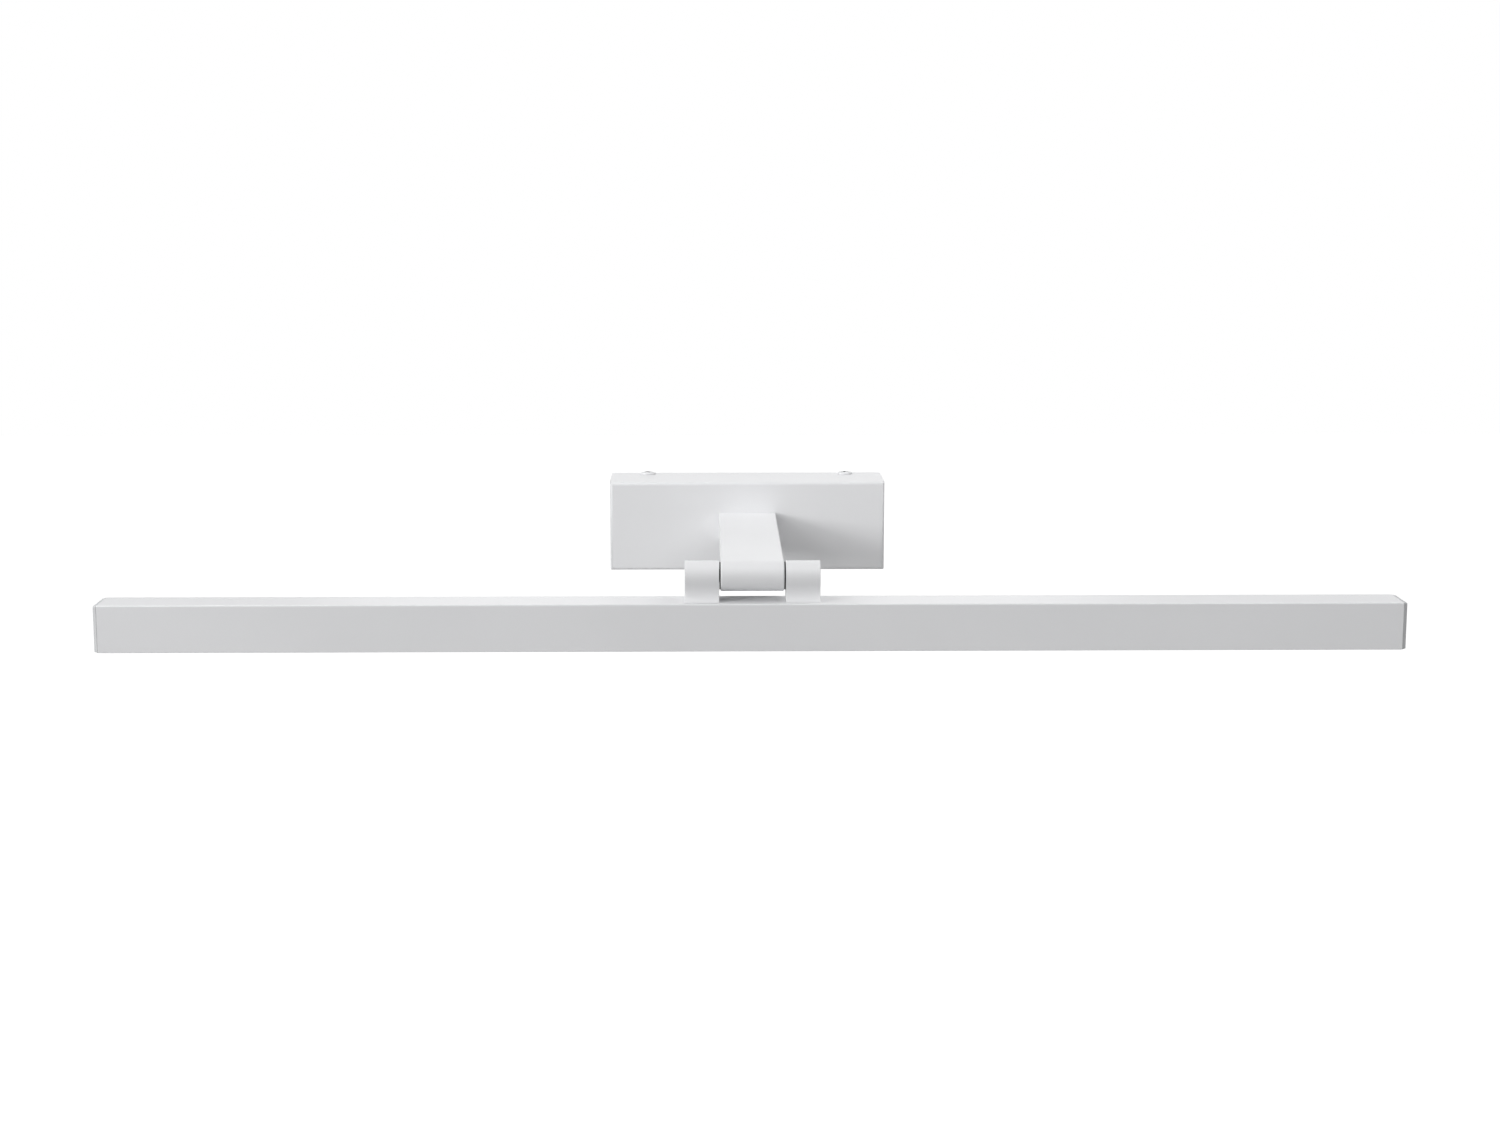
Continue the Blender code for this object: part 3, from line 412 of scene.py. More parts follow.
def prism(name, outlines, middle, half, turn):
    curve = bpy.data.curves.new(name, "CURVE")
    curve.dimensions = "2D"
    curve.fill_mode = "BOTH"
    curve.extrude = half * MM
    for outline in outlines:
        spline = curve.splines.new("POLY")
        spline.points.add(len(outline) - 1)
        for point, (u, v) in zip(spline.points, outline):
            point.co = (u * MM, v * MM, 0.0, 1.0)
        spline.use_cyclic_u = True
    guide = bpy.data.objects.new(name, curve)
    SCENE.collection.objects.link(guide)
    guide.matrix_world = at(*middle) @ turn
    bpy.context.view_layer.update()
    graph = bpy.context.evaluated_depsgraph_get()
    mesh = bpy.data.meshes.new_from_object(guide.evaluated_get(graph), depsgraph=graph)
    mesh.transform(guide.matrix_world)
    bpy.data.objects.remove(guide, do_unlink=True)
    bm = bmesh.new()
    bm.from_mesh(mesh)
    bmesh.ops.remove_doubles(bm, verts=bm.verts, dist=1e-6)
    bmesh.ops.dissolve_limit(bm, angle_limit=0.001, verts=bm.verts, edges=bm.edges)
    bmesh.ops.recalc_face_normals(bm, faces=bm.faces)
    return from_bmesh(name, bm)


def boolean(obj, tool, operation):
    mod = obj.modifiers.new("b", "BOOLEAN")
    mod.operation, mod.object, mod.solver = operation, tool, "EXACT"
    settle(obj)
    bpy.data.objects.remove(tool, do_unlink=True)
    return obj


def cut(obj, *tools):
    for tool in tools:
        boolean(obj, tool, "DIFFERENCE")
    return obj


def join(obj, *tools):
    for tool in tools:
        boolean(obj, tool, "UNION")
    return obj


def lofted(name, sections, steps=6):
    """A solid through rounded rectangles. Each section is (x, corners), a corner (y, z, radius, side of y, side of z)."""
    bm = bmesh.new()
    rings = []
    for x, corners in sections:
        ring = []
        for y, z, r, v, w in corners:
            first = math.degrees(math.atan2(w, v)) - 45
            for k in range(steps + 1):
                a = math.radians(first + 90 * k / steps)
                ring.append(bm.verts.new(((x) * MM, (y - v * r + r * math.cos(a)) * MM, (z - w * r + r * math.sin(a)) * MM)))
        rings.append(ring)
    for a, b in zip(rings, rings[1:]):
        for k in range(len(a)):
            m = (k + 1) % len(a)
            bm.faces.new((a[k], a[m], b[m], b[k]))
    bm.faces.new(rings[0][::-1])
    bm.faces.new(rings[-1])
    bmesh.ops.recalc_face_normals(bm, faces=bm.faces)
    return from_bmesh(name, bm)


def round_edges(obj, width, segments=3, angle=40.0):
    mod = obj.modifiers.new("edges", "BEVEL")
    mod.width, mod.segments = width * MM, segments
    mod.limit_method, mod.angle_limit = "ANGLE", math.radians(angle)
    mod.use_clamp_overlap = True
    mod.miter_outer = "MITER_ARC"
    return settle(obj)


def arc(cx, cy, r, a0, a1, n):
    return [(cx + r * math.cos(math.radians(a0 + (a1 - a0) * i / n)),
             cy + r * math.sin(math.radians(a0 + (a1 - a0) * i / n))) for i in range(n + 1)]


def rounded(points, radii, n=6):
    out = []
    for i, (p, r) in enumerate(zip(points, radii)):
        if r <= 0:
            out.append(p)
            continue
        c = Vector(p)
        a = (Vector(points[i - 1]) - c).normalized()
        b = (Vector(points[(i + 1) % len(points)]) - c).normalized()
        half = a.angle(b) / 2
        reach = r / math.tan(half)
        centre = c + (a + b).normalized() * (r / math.sin(half))
        s, e = c + a * reach - centre, c + b * reach - centre
        turn = s.angle_signed(e)
        for k in range(n + 1):
            t = -turn * k / n
            out.append(tuple(centre + Vector((s.x * math.cos(t) - s.y * math.sin(t), s.x * math.sin(t) + s.y * math.cos(t)))))
    return out


def tidy(mesh):
    """Merges the points that a cut leaves within a few microns of each other."""
    bm = bmesh.new()
    bm.from_mesh(mesh)
    for reach in (2e-6, 4e-6):
        bmesh.ops.remove_doubles(bm, verts=bm.verts, dist=reach)
        bmesh.ops.dissolve_degenerate(bm, edges=bm.edges, dist=reach / 2)
    bmesh.ops.holes_fill(bm, edges=[e for e in bm.edges if e.is_boundary], sides=12)
    bmesh.ops.recalc_face_normals(bm, faces=bm.faces)
    if bm.calc_volume(signed=True) < 0:
        bmesh.ops.reverse_faces(bm, faces=bm.faces)
    bm.to_mesh(mesh)
    bm.free()


def dress(obj, body, slot_name, materials, *nodes, sharp=38.0):
    """Shading, material, body and the frame nodes that the piece stands for."""
    mesh = obj.data
    tidy(mesh)
    mesh.materials.clear()
    for mat in materials if isinstance(materials, (list, tuple)) else [materials]:
        mesh.materials.append(mat)
    mesh.shade_smooth()
    mesh.set_sharp_from_angle(angle=math.radians(sharp))
    mod = obj.modifiers.new("flat_faces_first", "WEIGHTED_NORMAL")
    mod.mode = "FACE_AREA"
    mod.weight = 60
    mod.keep_sharp = True
    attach(obj, body)
    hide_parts(*nodes)
    return obj


def cross_cutter(place, depth, size, matrix):
    """The recess of a cross-head screw: four tapered wings and a pointed middle, from z = place down."""
    parts = []
    for turn in (0, 90):
        bm = bmesh.new()
        bmesh.ops.create_cube(bm, size=1.0)
        for v in bm.verts:
            low = v.co.z < 0
            v.co.x *= size * (0.42 if low else 1.0)
            v.co.y *= size * (0.13 if low else 0.2)
            v.co.z = place - depth if low else place + 0.6
        bmesh.ops.scale(bm, vec=(MM, MM, MM), verts=bm.verts)
        bmesh.ops.rotate(bm, cent=(0, 0, 0), matrix=Matrix.Rotation(math.radians(turn) + 1e-4, 3, "Z"), verts=bm.verts)
        parts.append(settle(from_bmesh("wing", bm, matrix)))
    cone = turned("point", [(0, place + 0.5), (size * 0.27, place + 0.5), (size * 0.2, place - depth),
                            (0, place - depth - size * 0.14)], matrix, 16)
    return join(parts[0], parts[1], cone)


def pan_profile(head_r, head_h, shank_r, shank_l, edge=0.25):
    """Pan head: domed top, rounded rim, and a shank with a thread's ridges."""
    out = [(0, head_h)]
    for across in (0.18, 0.36, 0.52, 0.66, 0.77, 0.86, 0.92, 0.96, 0.985):
        out.append((head_r * across, edge + (head_h - edge) * (1 - across ** 3.4) ** 0.6))
    out += [(head_r, edge + 0.08), (head_r, edge), (head_r - 0.06, 0.06), (head_r - 0.2, 0.0), (shank_r + 0.05, 0.0), (shank_r, -0.1)]
    return out + thread(shank_r, -0.5, -shank_l)


def paint_recess_shade(screw, matrix, head_h):
    """Painted shade: the recess's walls and floor take a dark steel that stands in for the shade inside the recess."""
    back = matrix.inverted()
    for face in screw.data.polygons:
        spot, way = back @ face.center * 1000, back.to_3x3() @ face.normal
        across = math.hypot(spot.x, spot.y)
        rising = 0.48 + (head_h - 0.48) * max(0.0, 1 - (across / SCREW_R) ** 3.4) ** 0.6
        if across < 2.4 and 0.05 < spot.z < rising - 0.04 and way.z < 0.9 or across < 1.6 and spot.z < head_h - 0.6 and way.z > 0.2 and spot.z > 0:
            face.material_index = 1


def thread(r, start, end, pitch=0.7, depth=0.22):
    """Ridges of a thread, as rings down to a pointed end."""
    out = []
    h = start
    while h - pitch > end + 0.5:
        out += [(r, h), (r, h - pitch * 0.12), (r - depth, h - pitch * 0.5), (r - depth, h - pitch * 0.62)]
        h -= pitch
    return out + [(r, h), (r - 0.05, end + 0.4), (r - 0.4, end), (0, end)]


# ==== wall box ===================================================================================
width, height = cover_hi.x - cover_lo.x, cover_hi.z - cover_lo.z
bm = bmesh.new()
bmesh.ops.create_cube(bm, size=1.0)
bmesh.ops.scale(bm, vec=(width * MM, (cover_hi.y - cover_lo.y) * MM, height * MM), verts=bm.verts)
bmesh.ops.delete(bm, geom=[f for f in bm.faces if f.normal.y > 0.9], context="FACES_ONLY")
folds = bm.edges.layers.float.new("bevel_weight_edge")
for edge in bm.edges:
    if all(v.co.y < 0 for v in edge.verts):
        edge[folds] = 1.0
cover = from_bmesh("cover_shell", bm, at(0, (cover_lo.y + cover_hi.y) / 2, 0))
mod = cover.modifiers.new("bends", "BEVEL")
mod.width, mod.segments, mod.limit_method = BEND * MM, 9, "WEIGHT"
mod = cover.modifiers.new("sheet", "SOLIDIFY")
mod.thickness, mod.offset, mod.use_even_offset = SHEET * MM, -1.0, True
settle(cover)
for sx in (-1, 1):
    cut(cover, rod("h", (sx * SCREW_X, SCREW_Y, -30), (sx * SCREW_X, SCREW_Y, 30), 2.25, 40),
        rod("h", (sx * ARM_SCREW_X, cover_lo.y - 2, 0), (sx * ARM_SCREW_X, cover_lo.y + 4, 0), 2.25, 32))
cut(cover, rod("h", (0, cover_lo.y - 2, 0), (0, cover_lo.y + 4, 0), 3.0, 40))
round_edges(cover, 0.22, 3, 65)
for sx in (-1, 1):
    for sz in (-1, 1):     # the hairline seam where two folded sides meet, and its relief notch at the bend
        spot = at(sx * width / 2, 0, sz * height / 2) @ Matrix.Rotation(math.radians(45 * sx * sz), 4, "Y")
        for lo, hi in (((-0.11, cover_lo.y + BEND * 0.6, -0.5), (0.11, 2, 0.5)),
                       ((-0.3, cover_lo.y + BEND * 0.55, -0.8), (0.3, cover_lo.y + BEND + 0.5, 0.8))):
            groove = box_mesh("seam", lo, hi)
            groove.data.transform(spot)
            cut(cover, groove)
dress(cover, WALL, "white_coat", COAT, "cover")

for label, sz in (("top", 1), ("bottom", -1)):
    for side, sx in (("left", -1), ("right", 1)):
        lo, hi = span(f"cover_screw_{label}_{side}")
        head_h = screw_hi.z - cover_hi.z - 0.3
        seat = sz * (cover_hi.z + 0.03)
        m = towards((lo.x + hi.x) / 2, (lo.y + hi.y) / 2, seat, (0, 0, sz)) @ Matrix.Rotation(0.24 - 0.17 * sx + 0.2 * (1 - sz), 4, "Z")
        s = turned(f"cover_screw_{label}_{side}_fine", pan_profile(SCREW_R, head_h, 1.98, 6.5, 0.48), m, 56)
        cut(s, cross_cutter(head_h, 0.95, 4.8, m))
        dress(s, WALL, "white_coat", [COAT_SCREW, RECESS_SHADE_STEEL], f"cover_screw_{label}_{side}", sharp=32)
        # Painted shade in the cross recess: its faces take the dark steel.
        paint_recess_shade(s, m, head_h)

# Bracket: a folded strip with keyholes.
half_h = bracket_hi.z
f, t = -bracket_lo.y, 1.5
outline = rounded([(0, -half_h), (0, half_h), (-f, half_h), (-f, half_h - t), (-t, half_h - t), (-t, -half_h + t), (-f, -half_h + t), (-f, -half_h)],
                  [2.0, 2.0, 0.2, 0.2, 0.6, 0.6, 0.2, 0.2], 7)
bracket = prism("wall_bracket_sheet", [outline], (0, 0, 0), bracket_hi.x, ALONG_X)
for sx in (-1, 1):
    x = sx * 63.0
    cut(bracket, prism("k", [arc(x, -4.5, 4.2, 123.2, 416.8, 40) + arc(x, 4.0, 2.3, 0, 180, 20)], (0, 0, 0), 5, ALONG_Y),
        rod("h", (sx * SCREW_X, SCREW_Y, -30), (sx * SCREW_X, SCREW_Y, 30), 2.15, 32))
cut(bracket, rod("h", (50, -5, 0), (50, 5, 0), 5.7, 48))
for x, z in [(-53.0, 0), (23.0, 0), (35.5, 4.0), (57.0, -14.0)]:
    cut(bracket, rod("h", (x, -5, z), (x, 5, z), 1.65, 28))
round_edges(bracket, 0.14, 2, 60)
dress(bracket, WALL, "zinc_plate", ZINC, "wall_bracket")

m = towards(50, grommet_hi.y, 0, (0, 1, 0))
ring = [(3.75, -0.25), (3.5, -0.7), (3.42, -1.4), (3.42, -2.4), (3.55, -3.2), (3.9, -3.75), (4.4, -3.98), (5.1, -4.0), (6.3, -3.82),
        (7.15, -3.55), (7.52, -3.2), (7.6, -2.8), (7.52, -2.3), (7.2, -1.95), (6.6, -1.8), (5.6, -1.72), (5.45, -1.6), (5.42, -0.9),
        (5.42, -0.3), (5.3, -0.08), (5.0, 0.0), (4.3, 0.0), (3.95, -0.06)]
dress(turned("cable_grommet_ring", ring[::-1], m, 72, closed=True), WALL, "black_rubber", RUBBER, "cable_grommet", sharp=50)

# ==== arm ========================================================================================
EDGE = 0.62
arm = prism("arm_body", [[(ROOT, -R), (ROOT, R)] + arc(HINGE_Y, 0, R, 90, 270, 72)], (0, 0, HINGE_Z), ARM_HALF, ALONG_X)
round_edges(arm, EDGE, 4, 50)
pocket = (plate_lo.x - 0.15, plate_hi.x + 0.15, plate_lo.y - 0.15, plate_hi.y + 0.15)
cut(arm, box_mesh("p", (pocket[0], pocket[2], -R - 2), (pocket[1], pocket[3], R - 2.0)))
BOSS_Y = [sum((span(f"arm_plate_screw_{k}")[0].y, span(f"arm_plate_screw_{k}")[1].y)) / 2 for k in ("rear", "front")]
for y in BOSS_Y:
    join(arm, rod("b", (0, y, R - 1.0), (0, y, -5.3), 3.2, 40))
    cut(arm, rod("h", (0, y, -8), (0, y, 1.5), 1.65, 28))
cut(arm, rod("h", (-30, HINGE_Y, 0), (30, HINGE_Y, 0), 4.05, 72),
    box_mesh("s", (-4.5, HINGE_Y + 2, -2.2), (4.5, pocket[2] + 1, 2.2)),
    rod("h", (0, ROOT + 2, 0), (0, pocket[3] - 2, 0), 2.6, 32))
for sx in (-1, 1):
    cut(arm, rod("h", (sx * ARM_SCREW_X, ROOT + 2, 0), (sx * ARM_SCREW_X, ROOT - 7.4, 0), 2.15, 28))
dress(arm, WALL, "white_coated_aluminium", COAT, "arm", sharp=30)

plate = box_mesh("arm_underside_plate", plate_lo, plate_hi)
bm = bmesh.new()
bm.from_mesh(plate.data)
bmesh.ops.bevel(bm, geom=[e for e in bm.edges if abs(e.verts[0].co.z - e.verts[1].co.z) > 1e-4], offset=1.2 * MM, segments=6,
                affect="EDGES", profile=0.5)
bm.to_mesh(plate.data)
bm.free()
for y in BOSS_Y:
    m = towards(0, y, plate_lo.z, (0, 0, -1))
    cut(plate, turned("c", [(0, 1.0), (3.0, 1.0), (3.0, 0.1), (3.0, -0.3), (1.6, -1.7), (1.6, -4), (0, -4)], m, 48))
round_edges(plate, 0.14, 2, 50)
dress(plate, WALL, "white_coated_aluminium", COAT, "arm_bottom_plate", sharp=35)

for label, y in zip(("rear", "front"), BOSS_Y):
    lo, hi = span(f"arm_plate_screw_{label}")
    m = towards(0, y, lo.z, (0, 0, -1)) @ Matrix.Rotation(0.5 if label == "rear" else 1.1, 4, "Z")
    s = turned(f"arm_plate_screw_{label}_fine",
               [(0, 0), (2.7, 0), (2.79, -0.07), (2.8, -0.22), (1.42, -1.62)] + thread(1.4, -1.7, -7.0, 0.6, 0.18), m, 48)
    cut(s, cross_cutter(0.0, 1.15, 2.9, m))
    dress(s, WALL, "bright_steel", STEEL, f"arm_plate_screw_{label}", sharp=32)

for side, sx in (("left", -1), ("right", 1)):
    r0 = 3.05
    profile = [(r0 + 0.2, 0.55), (6.25, 0.55), (6.37, 0.5), (6.4, 0.4), (6.4, 0.2), (6.37, 0.1), (6.25, 0.05), (3.98, 0.05),
               (3.98, -7.7), (3.8, -8.0), (r0 + 0.2, -8.0), (r0, -7.8), (r0, 0.35)]
    bush = turned(f"hinge_bush_{side}_fine", profile, towards(sx * ARM_HALF, HINGE_Y, 0, (sx, 0, 0)), 72, closed=True)
    dress(bush, WALL, "black_nylon", NYLON, f"hinge_bush_{side}", sharp=35)

# ==== lamp head ==================================================================================
FLARE, NECK = 6.0, 5.5      # radius of the hollow flanks, and half the waist between them
fz = math.sqrt((R + FLARE) ** 2 - (NECK + FLARE) ** 2)
start = math.degrees(math.atan2(-fz, NECK + FLARE))
foot = knuckle_lo.z
end = math.degrees(math.asin((fz + foot) / FLARE))
outline = arc(0, 0, R, start, 180 - start, 96) + arc(-(NECK + FLARE), -fz, FLARE, -start, end, 16)[1:] + arc(NECK + FLARE, -fz, FLARE, 180 - end, 180 + start, 16)[:-1]
for side, sx in (("left", -1), ("right", 1)):
    mid = sx * KNUCKLE_MID
    k = prism(f"knuckle_{side}_body", [outline], (mid, HINGE_Y, HINGE_Z), KNUCKLE_HALF, ALONG_X)
    round_edges(k, 0.5, 3, 60)
    cut(k, rod("h", (mid - 12, HINGE_Y, 0), (mid + 12, HINGE_Y, 0), 3.05, 72))
    for dx in (-5.0, 5.0):
        cut(k, rod("h", (mid + dx, HINGE_Y, BAR_TOP - 2), (mid + dx, HINGE_Y, -4.9), 1.6, 24))
    cut(k, rod("h", (mid, HINGE_Y, BAR_TOP - 2), (mid, HINGE_Y, -1.0), 1.65, 24))
    lo, hi = span(f"hinge_grub_screw_{side}")
    grub_x = (lo.x + hi.x) / 2
    cut(k, rod("h", (grub_x, HINGE_Y + 1.0, 0), (grub_x, HINGE_Y + 9.0, 0), 1.55, 28))
    dress(k, HEAD, "white_coated_aluminium", COAT, f"knuckle_{side}", sharp=30)

    g = turned(f"hinge_grub_screw_{side}_fine", [(0, 0), (1.15, 0), (1.42, -0.25)] + thread(1.42, -0.3, -3.3, 0.5, 0.16),
               towards(grub_x, hi.y, 0, (0, 1, 0)), 40)
    cut(g, rod("x", (grub_x, hi.y - 1.6, 0), (grub_x, hi.y + 1, 0), 0.85, 6))
    dress(g, HEAD, "bright_steel", STEEL, f"hinge_grub_screw_{side}", sharp=30)

    lo, hi = span(f"hinge_pin_{side}")
    outer, inner = (hi.x, lo.x) if sx > 0 else (lo.x, hi.x)
    length = abs(outer - inner)
    p = turned(f"hinge_pin_{side}_fine",
               [(0, 0), (2.55, 0), (2.8, -0.08), (2.96, -0.24), (3.0, -0.42), (3.0, -length + 0.3), (2.9, -length + 0.1), (2.7, -length), (0, -length)],
               towards(outer, HINGE_Y, 0, (sx, 0, 0)), 72)
    cut(p, rod("x", (outer - sx * 1.9, HINGE_Y, 0), (outer + sx * 1.0, HINGE_Y, 0), 1.75, 6),
        rod("c", (outer - sx * 0.25, HINGE_Y, 0), (outer + sx * 0.15, HINGE_Y, 0), 1.6, 40, 2.05))
    if sx > 0:
        cut(p, rod("h", (inner - 1, HINGE_Y, 0), (KNUCKLE_MID + 2.3, HINGE_Y, 0), 2.1, 40),
            rod("h", (KNUCKLE_MID, HINGE_Y, 0.1), (KNUCKLE_MID, HINGE_Y, -5), 1.65, 24))
    dress(p, HEAD, "bright_steel", STEEL, f"hinge_pin_{side}", sharp=32)

s, i = BAR_HALF, BAR_HALF - WALL_T
top, bot = BAR_TOP, BAR_BOTTOM
rt, rb = bot + 4.7, bot + 3.9
outer_path = rounded(
    [(-s, bot), (-i, bot), (-i, rb), (-i + 0.5, rb + 0.15), (-i + 0.5, rt - 0.15), (-i, rt), (-i, WEB_LOW),
     (i, WEB_LOW), (i, rt), (i - 0.5, rt - 0.15), (i - 0.5, rb + 0.15), (i, rb), (i, bot), (s, bot), (s, top), (-s, top)],
    [0.35, 0.25, 0, 0.1, 0.1, 0, 0.5, 0.5, 0, 0.1, 0.1, 0, 0.25, 0.35, 0.7, 0.7], 8)
chamber = rounded([(-i, WEB_TOP), (i, WEB_TOP), (i, top - TOP_T), (-i, top - TOP_T)], [0.8] * 4, 5)
housing = prism("bar_extrusion", [outer_path, chamber], (0, HINGE_Y, 0), bar_hi.x, ALONG_X)
bm = bmesh.new()
bm.from_mesh(housing.data)
ends = [e for e in bm.edges if all(abs(abs(v.co.x) - bar_hi.x * MM) < 1e-6 for v in e.verts)
        and (all(abs(abs(v.co.y - HINGE_Y * MM) - s * MM) < 1e-6 for v in e.verts) or all(v.co.z > (top - 0.75) * MM for v in e.verts))]
bmesh.ops.bevel(bm, geom=ends, offset=0.16 * MM, segments=2, affect="EDGES", profile=0.5)
bm.to_mesh(housing.data)
bm.free()
LED_X = [sum((span(f"led_board_screw_right_{k}")[0].x, span(f"led_board_screw_right_{k}")[1].x)) / 2 for k in ("inner", "outer")]
for sx in (-1, 1):
    for dx in (-5.0, 5.0):
        x = sx * KNUCKLE_MID + dx
        cut(housing, rod("h", (x, HINGE_Y, top + 1), (x, HINGE_Y, top - TOP_T - 1), 1.7, 24),
            rod("h", (x, HINGE_Y, WEB_TOP + 1), (x, HINGE_Y, WEB_LOW - 1), 3.4, 32))
    cut(housing, rod("h", (sx * KNUCKLE_MID, HINGE_Y, top + 1), (sx * KNUCKLE_MID, HINGE_Y, top - TOP_T - 1), 1.65, 24))
    for x in LED_X:
        cut(housing, rod("h", (sx * x, HINGE_Y, WEB_TOP + 1), (sx * x, HINGE_Y, WEB_LOW - 1), 1.4, 20))
cut(housing, rod("h", (0, HINGE_Y, WEB_TOP + 1), (0, HINGE_Y, WEB_LOW - 1), 1.9, 28))
dress(housing, HEAD, "white_coated_aluminium", COAT, "bar_housing", sharp=30)

for side, sx in (("left", -1), ("right", 1)):
    lo, hi = span(f"end_cap_{side}")
    outer = hi.x if sx > 0 else lo.x
    inner = outer - sx * 1.6
    # (out from the seam, inset of the upright edges, inset of the top and bottom, corner radius)
    cap = lofted(f"end_cap_{side}_moulded",
                 [(inner + sx * out, [(HINGE_Y + v * (s - side_in), (top + bot) / 2 + w * ((top - bot) / 2 - top_in), r, v, w)
                                      for v, w in ((1, 1), (-1, 1), (-1, -1), (1, -1))])
                  for out, side_in, top_in, r in ((0.0, 0.1, 0.14, 0.6), (0.02, 0.05, 0.1, 0.65), (0.05, 0.05, 0.1, 0.65), (0.09, 0.08, 0.12, 0.65),
                                                  (1.5, 0.82, 0.32, 0.55), (1.57, 0.9, 0.4, 0.5), (1.6, 1.05, 0.55, 0.5))])
    deep = inner - sx * 6.0
    a, b = min(deep, inner + sx * 0.4), max(deep, inner + sx * 0.4)
    for lo_yz, hi_yz in (((HINGE_Y - i + 0.2, WEB_TOP + 0.2), (HINGE_Y + i - 0.2, top - TOP_T - 0.2)),
                         ((HINGE_Y - 7.2, bot + 6.4), (HINGE_Y + 7.2, WEB_LOW - 2.4))):
        plug = box_mesh("plug", (a, *lo_yz), (b, *hi_yz))
        round_edges(plug, 0.45, 3, 40)
        join(cap, plug)
    dress(cap, HEAD, "white_plastic", CAP_WHITE, f"end_cap_{side}", sharp=32)

lo_y, leg, barb = i - 0.2, i - 0.75, i - 0.25
profile = rounded(
    [(-lo_y, bot + 0.1), (lo_y, bot + 0.1), (lo_y, bot + 1.7), (leg, bot + 2.2), (leg, rt + 0.15), (barb, rt + 0.35),
     (leg - 0.2, rt + 1.5), (leg - 1.2, rt + 1.5), (leg - 1.2, bot + 1.8), (-leg + 1.2, bot + 1.8), (-leg + 1.2, rt + 1.5),
     (-leg + 0.2, rt + 1.5), (-barb, rt + 0.35), (-leg, rt + 0.15), (-leg, bot + 2.2), (-lo_y, bot + 1.7)],
    [0.45, 0.45, 0.15, 0.1, 0.1, 0.1, 0.15, 0.15, 0.5, 0.5, 0.15, 0.15, 0.1, 0.1, 0.1, 0.15], 5)
diffuser = prism("diffuser_profile", [profile], (0, HINGE_Y, 0), diff_hi.x, ALONG_X)
dress(diffuser, HEAD, "opal_diffuser", OPAL, "diffuser", sharp=30)


# ==== finishes of the frame's own nodes ==========================================================
CARRIED = {
    ZINC: ["arm_backing_plate"],
    STEEL: ["arm_screw_left", "arm_screw_right", "terminal_mount_screw", "driver_screw_left", "driver_screw_right",
            "knuckle_screw_left_inner", "knuckle_screw_left_outer", "knuckle_screw_right_inner", "knuckle_screw_right_outer",
            "led_board_screw_left_inner", "led_board_screw_left_outer", "led_board_screw_right_inner", "led_board_screw_right_outer"],
    BRASS: ["earth_tag", "earth_screw"] + [f"terminal_screw_{k}" for k in range(1, 7)],
    PLASTIC: ["terminal_block", "driver_case", "driver_lid", "board_connector"],
    MASK_WHITE: ["led_board_left", "led_board_right"],
    MASK_GREEN: ["driver_board"],
    LEAD_WHITE: ["arm_lead", "head_lead"],
    LEAD_BROWN: ["live_lead"],
    LEAD_BLUE: ["neutral_lead"],
    LEAD_EARTH: ["earth_lead"],
}
for mat, names in CARRIED.items():
    for name in names:
        slots = NODES[name].material_slots
        for one in slots:
            one.material = mat
        if not slots:
            NODES[name].data.materials.append(mat)


# ==== studio =====================================================================================
def seen_white(tree, lit, strength, add=False):
    """Lets the camera see a pale studio backdrop, while the shader given goes on lighting the object."""
    path = tree.nodes.new("ShaderNodeLightPath")
    pale = tree.nodes.new("ShaderNodeEmission" if add else "ShaderNodeBackground")
    pale.inputs["Color"].default_value = (1.0, 1.0, 1.0, 1.0)
    pale.inputs["Strength"].default_value = strength
    shown = pale.outputs[0]
    if add:
        both = tree.nodes.new("ShaderNodeAddShader")
        tree.links.new(lit, both.inputs[0])
        tree.links.new(shown, both.inputs[1])
        shown = both.outputs[0]
    mix = tree.nodes.new("ShaderNodeMixShader")
    tree.links.new(path.outputs["Is Camera Ray"], mix.inputs["Fac"])
    tree.links.new(lit, mix.inputs[1])
    tree.links.new(shown, mix.inputs[2])
    output = [n for n in tree.nodes if n.type in ("OUTPUT_MATERIAL", "OUTPUT_WORLD")][0]
    tree.links.new(mix.outputs[0], output.inputs["Surface"])


def floor():
    bm = bmesh.new()
    bmesh.ops.create_grid(bm, x_segments=2, y_segments=2, size=14.0)
    obj = from_bmesh("studio_floor", bm, Matrix.Translation((0.0, 0.0, -1.6)))
    n = Nodes("studio_floor_pale", (0.9, 0.9, 0.9), 0.7)
    clouds = n.noise(3.0, 2.0)
    mat = n.out(n.ramp(clouds, (0.3, (0.89, 0.89, 0.89)), (0.7, (0.91, 0.91, 0.91))))
    seen_white(n.tree, n.shader.outputs["BSDF"], 0.92, add=True)
    obj.data.materials.append(mat)
    return obj


floor()


def softbox(name, place, aim, size, watts, colour=(1.0, 1.0, 1.0)):
    light = bpy.data.lights.new(name, "AREA")
    light.shape = "RECTANGLE"
    light.size, light.size_y = size
    light.energy = watts
    light.color = colour
    obj = bpy.data.objects.new(name, light)
    SCENE.collection.objects.link(obj)
    place = Vector(place)
    obj.location = place
    obj.rotation_mode = "QUATERNION"
    obj.rotation_quaternion = (Vector(aim) - place).to_track_quat("-Z", "Y")
    return obj


def around(azimuth, elevation, distance=3.0):
    """A place round the object. Azimuth 0 is in front of it, 90 on its right, 270 on its left."""
    a, e = math.radians(azimuth), math.radians(elevation)
    return AIM + Vector((math.sin(a) * math.cos(e), -math.cos(a) * math.cos(e), math.sin(e))) * distance


AIM = Vector((0.0, -0.12, 0.0))
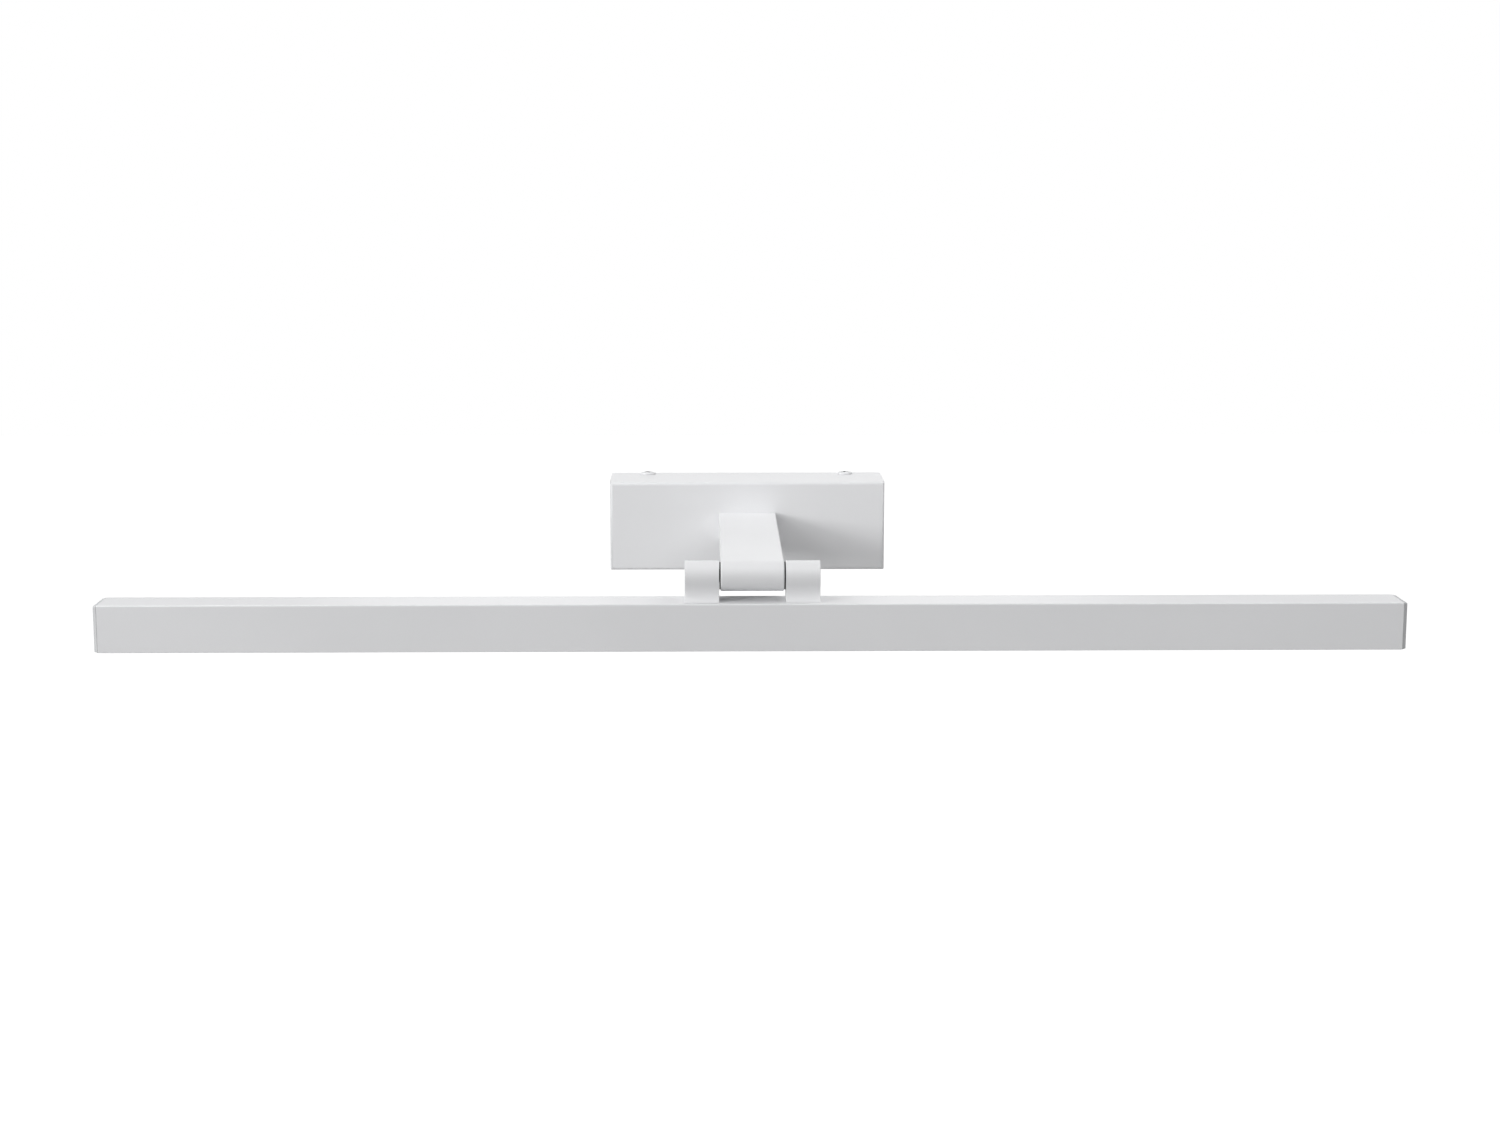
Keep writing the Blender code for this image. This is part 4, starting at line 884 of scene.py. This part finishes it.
# (name, azimuth, elevation, side, watts), all 3 m away
for name, azimuth, elevation, side, watts in (
        ("softbox_main", 305, 12, 0.7, 34.5), ("softbox_upper", 320, 24, 0.7, 6.8), ("softbox_front", 335, 12, 0.7, 7.8),
        ("softbox_back", 180, 30.5, 1.3, 3.1), ("softbox_back_low", 180, 3.5, 1.3, 4.2),
        ("softbox_back_right", 130, 25, 1.3, 5.0), ("softbox_back_left", 230, 25, 1.3, 5.0)):
    softbox(name, around(azimuth, elevation), AIM, (side, side), watts)
# Small soft lights close above the object: (name, x, y, watts)
for name, x, y, watts in (
        ("overhead_front_right", 0.5, -0.45, 1.62), ("overhead_front", 0.17, -0.45, 0.06), ("overhead_left", -0.5, -0.2, 2.1),
        ("overhead_right", 0.5, -0.2, 0.75), ("overhead_back_left", -0.5, 0.05, 0.75), ("overhead_back_right", 0.5, 0.05, 1.8)):
    softbox(name, (x, y, 0.55), (x, y, 0.0), (0.62, 0.46), watts)

world = bpy.data.worlds.new("studio")
SCENE.world = world
world.use_nodes = True
sky = world.node_tree.nodes["Background"]
sky.inputs["Color"].default_value = (1.0, 1.0, 1.0, 1.0)
sky.inputs["Strength"].default_value = 0.197
seen_white(world.node_tree, sky.outputs[0], 1.0)
SCENE.view_settings.view_transform = "Standard"

# The camera stands in front, slightly left of the middle, and looks down a little.
YAW, PITCH, ROLL = 0.016666, 0.166915, -0.000565
camera = bpy.data.cameras.new("camera")
camera.sensor_fit = "HORIZONTAL"
camera.sensor_width = 36.0
camera.lens = 36.0 * 2523.5 / 1500.0
camera.clip_start, camera.clip_end = 0.05, 60.0
eye = bpy.data.objects.new("camera", camera)
SCENE.collection.objects.link(eye)
forward = Vector((math.sin(YAW) * math.cos(PITCH), math.cos(YAW) * math.cos(PITCH), -math.sin(PITCH)))
right = Vector((math.cos(YAW), -math.sin(YAW), 0.0))
up = right.cross(forward)
spin = Matrix.Rotation(ROLL, 3, forward)
right, up = spin @ right, spin @ up
eye.matrix_world = Matrix.Translation(Vector((-20.132, -1329.759, 198.533)) * MM) @ Matrix((right, up, -forward)).transposed().to_4x4()
SCENE.camera = eye

bpy.context.view_layer.update()
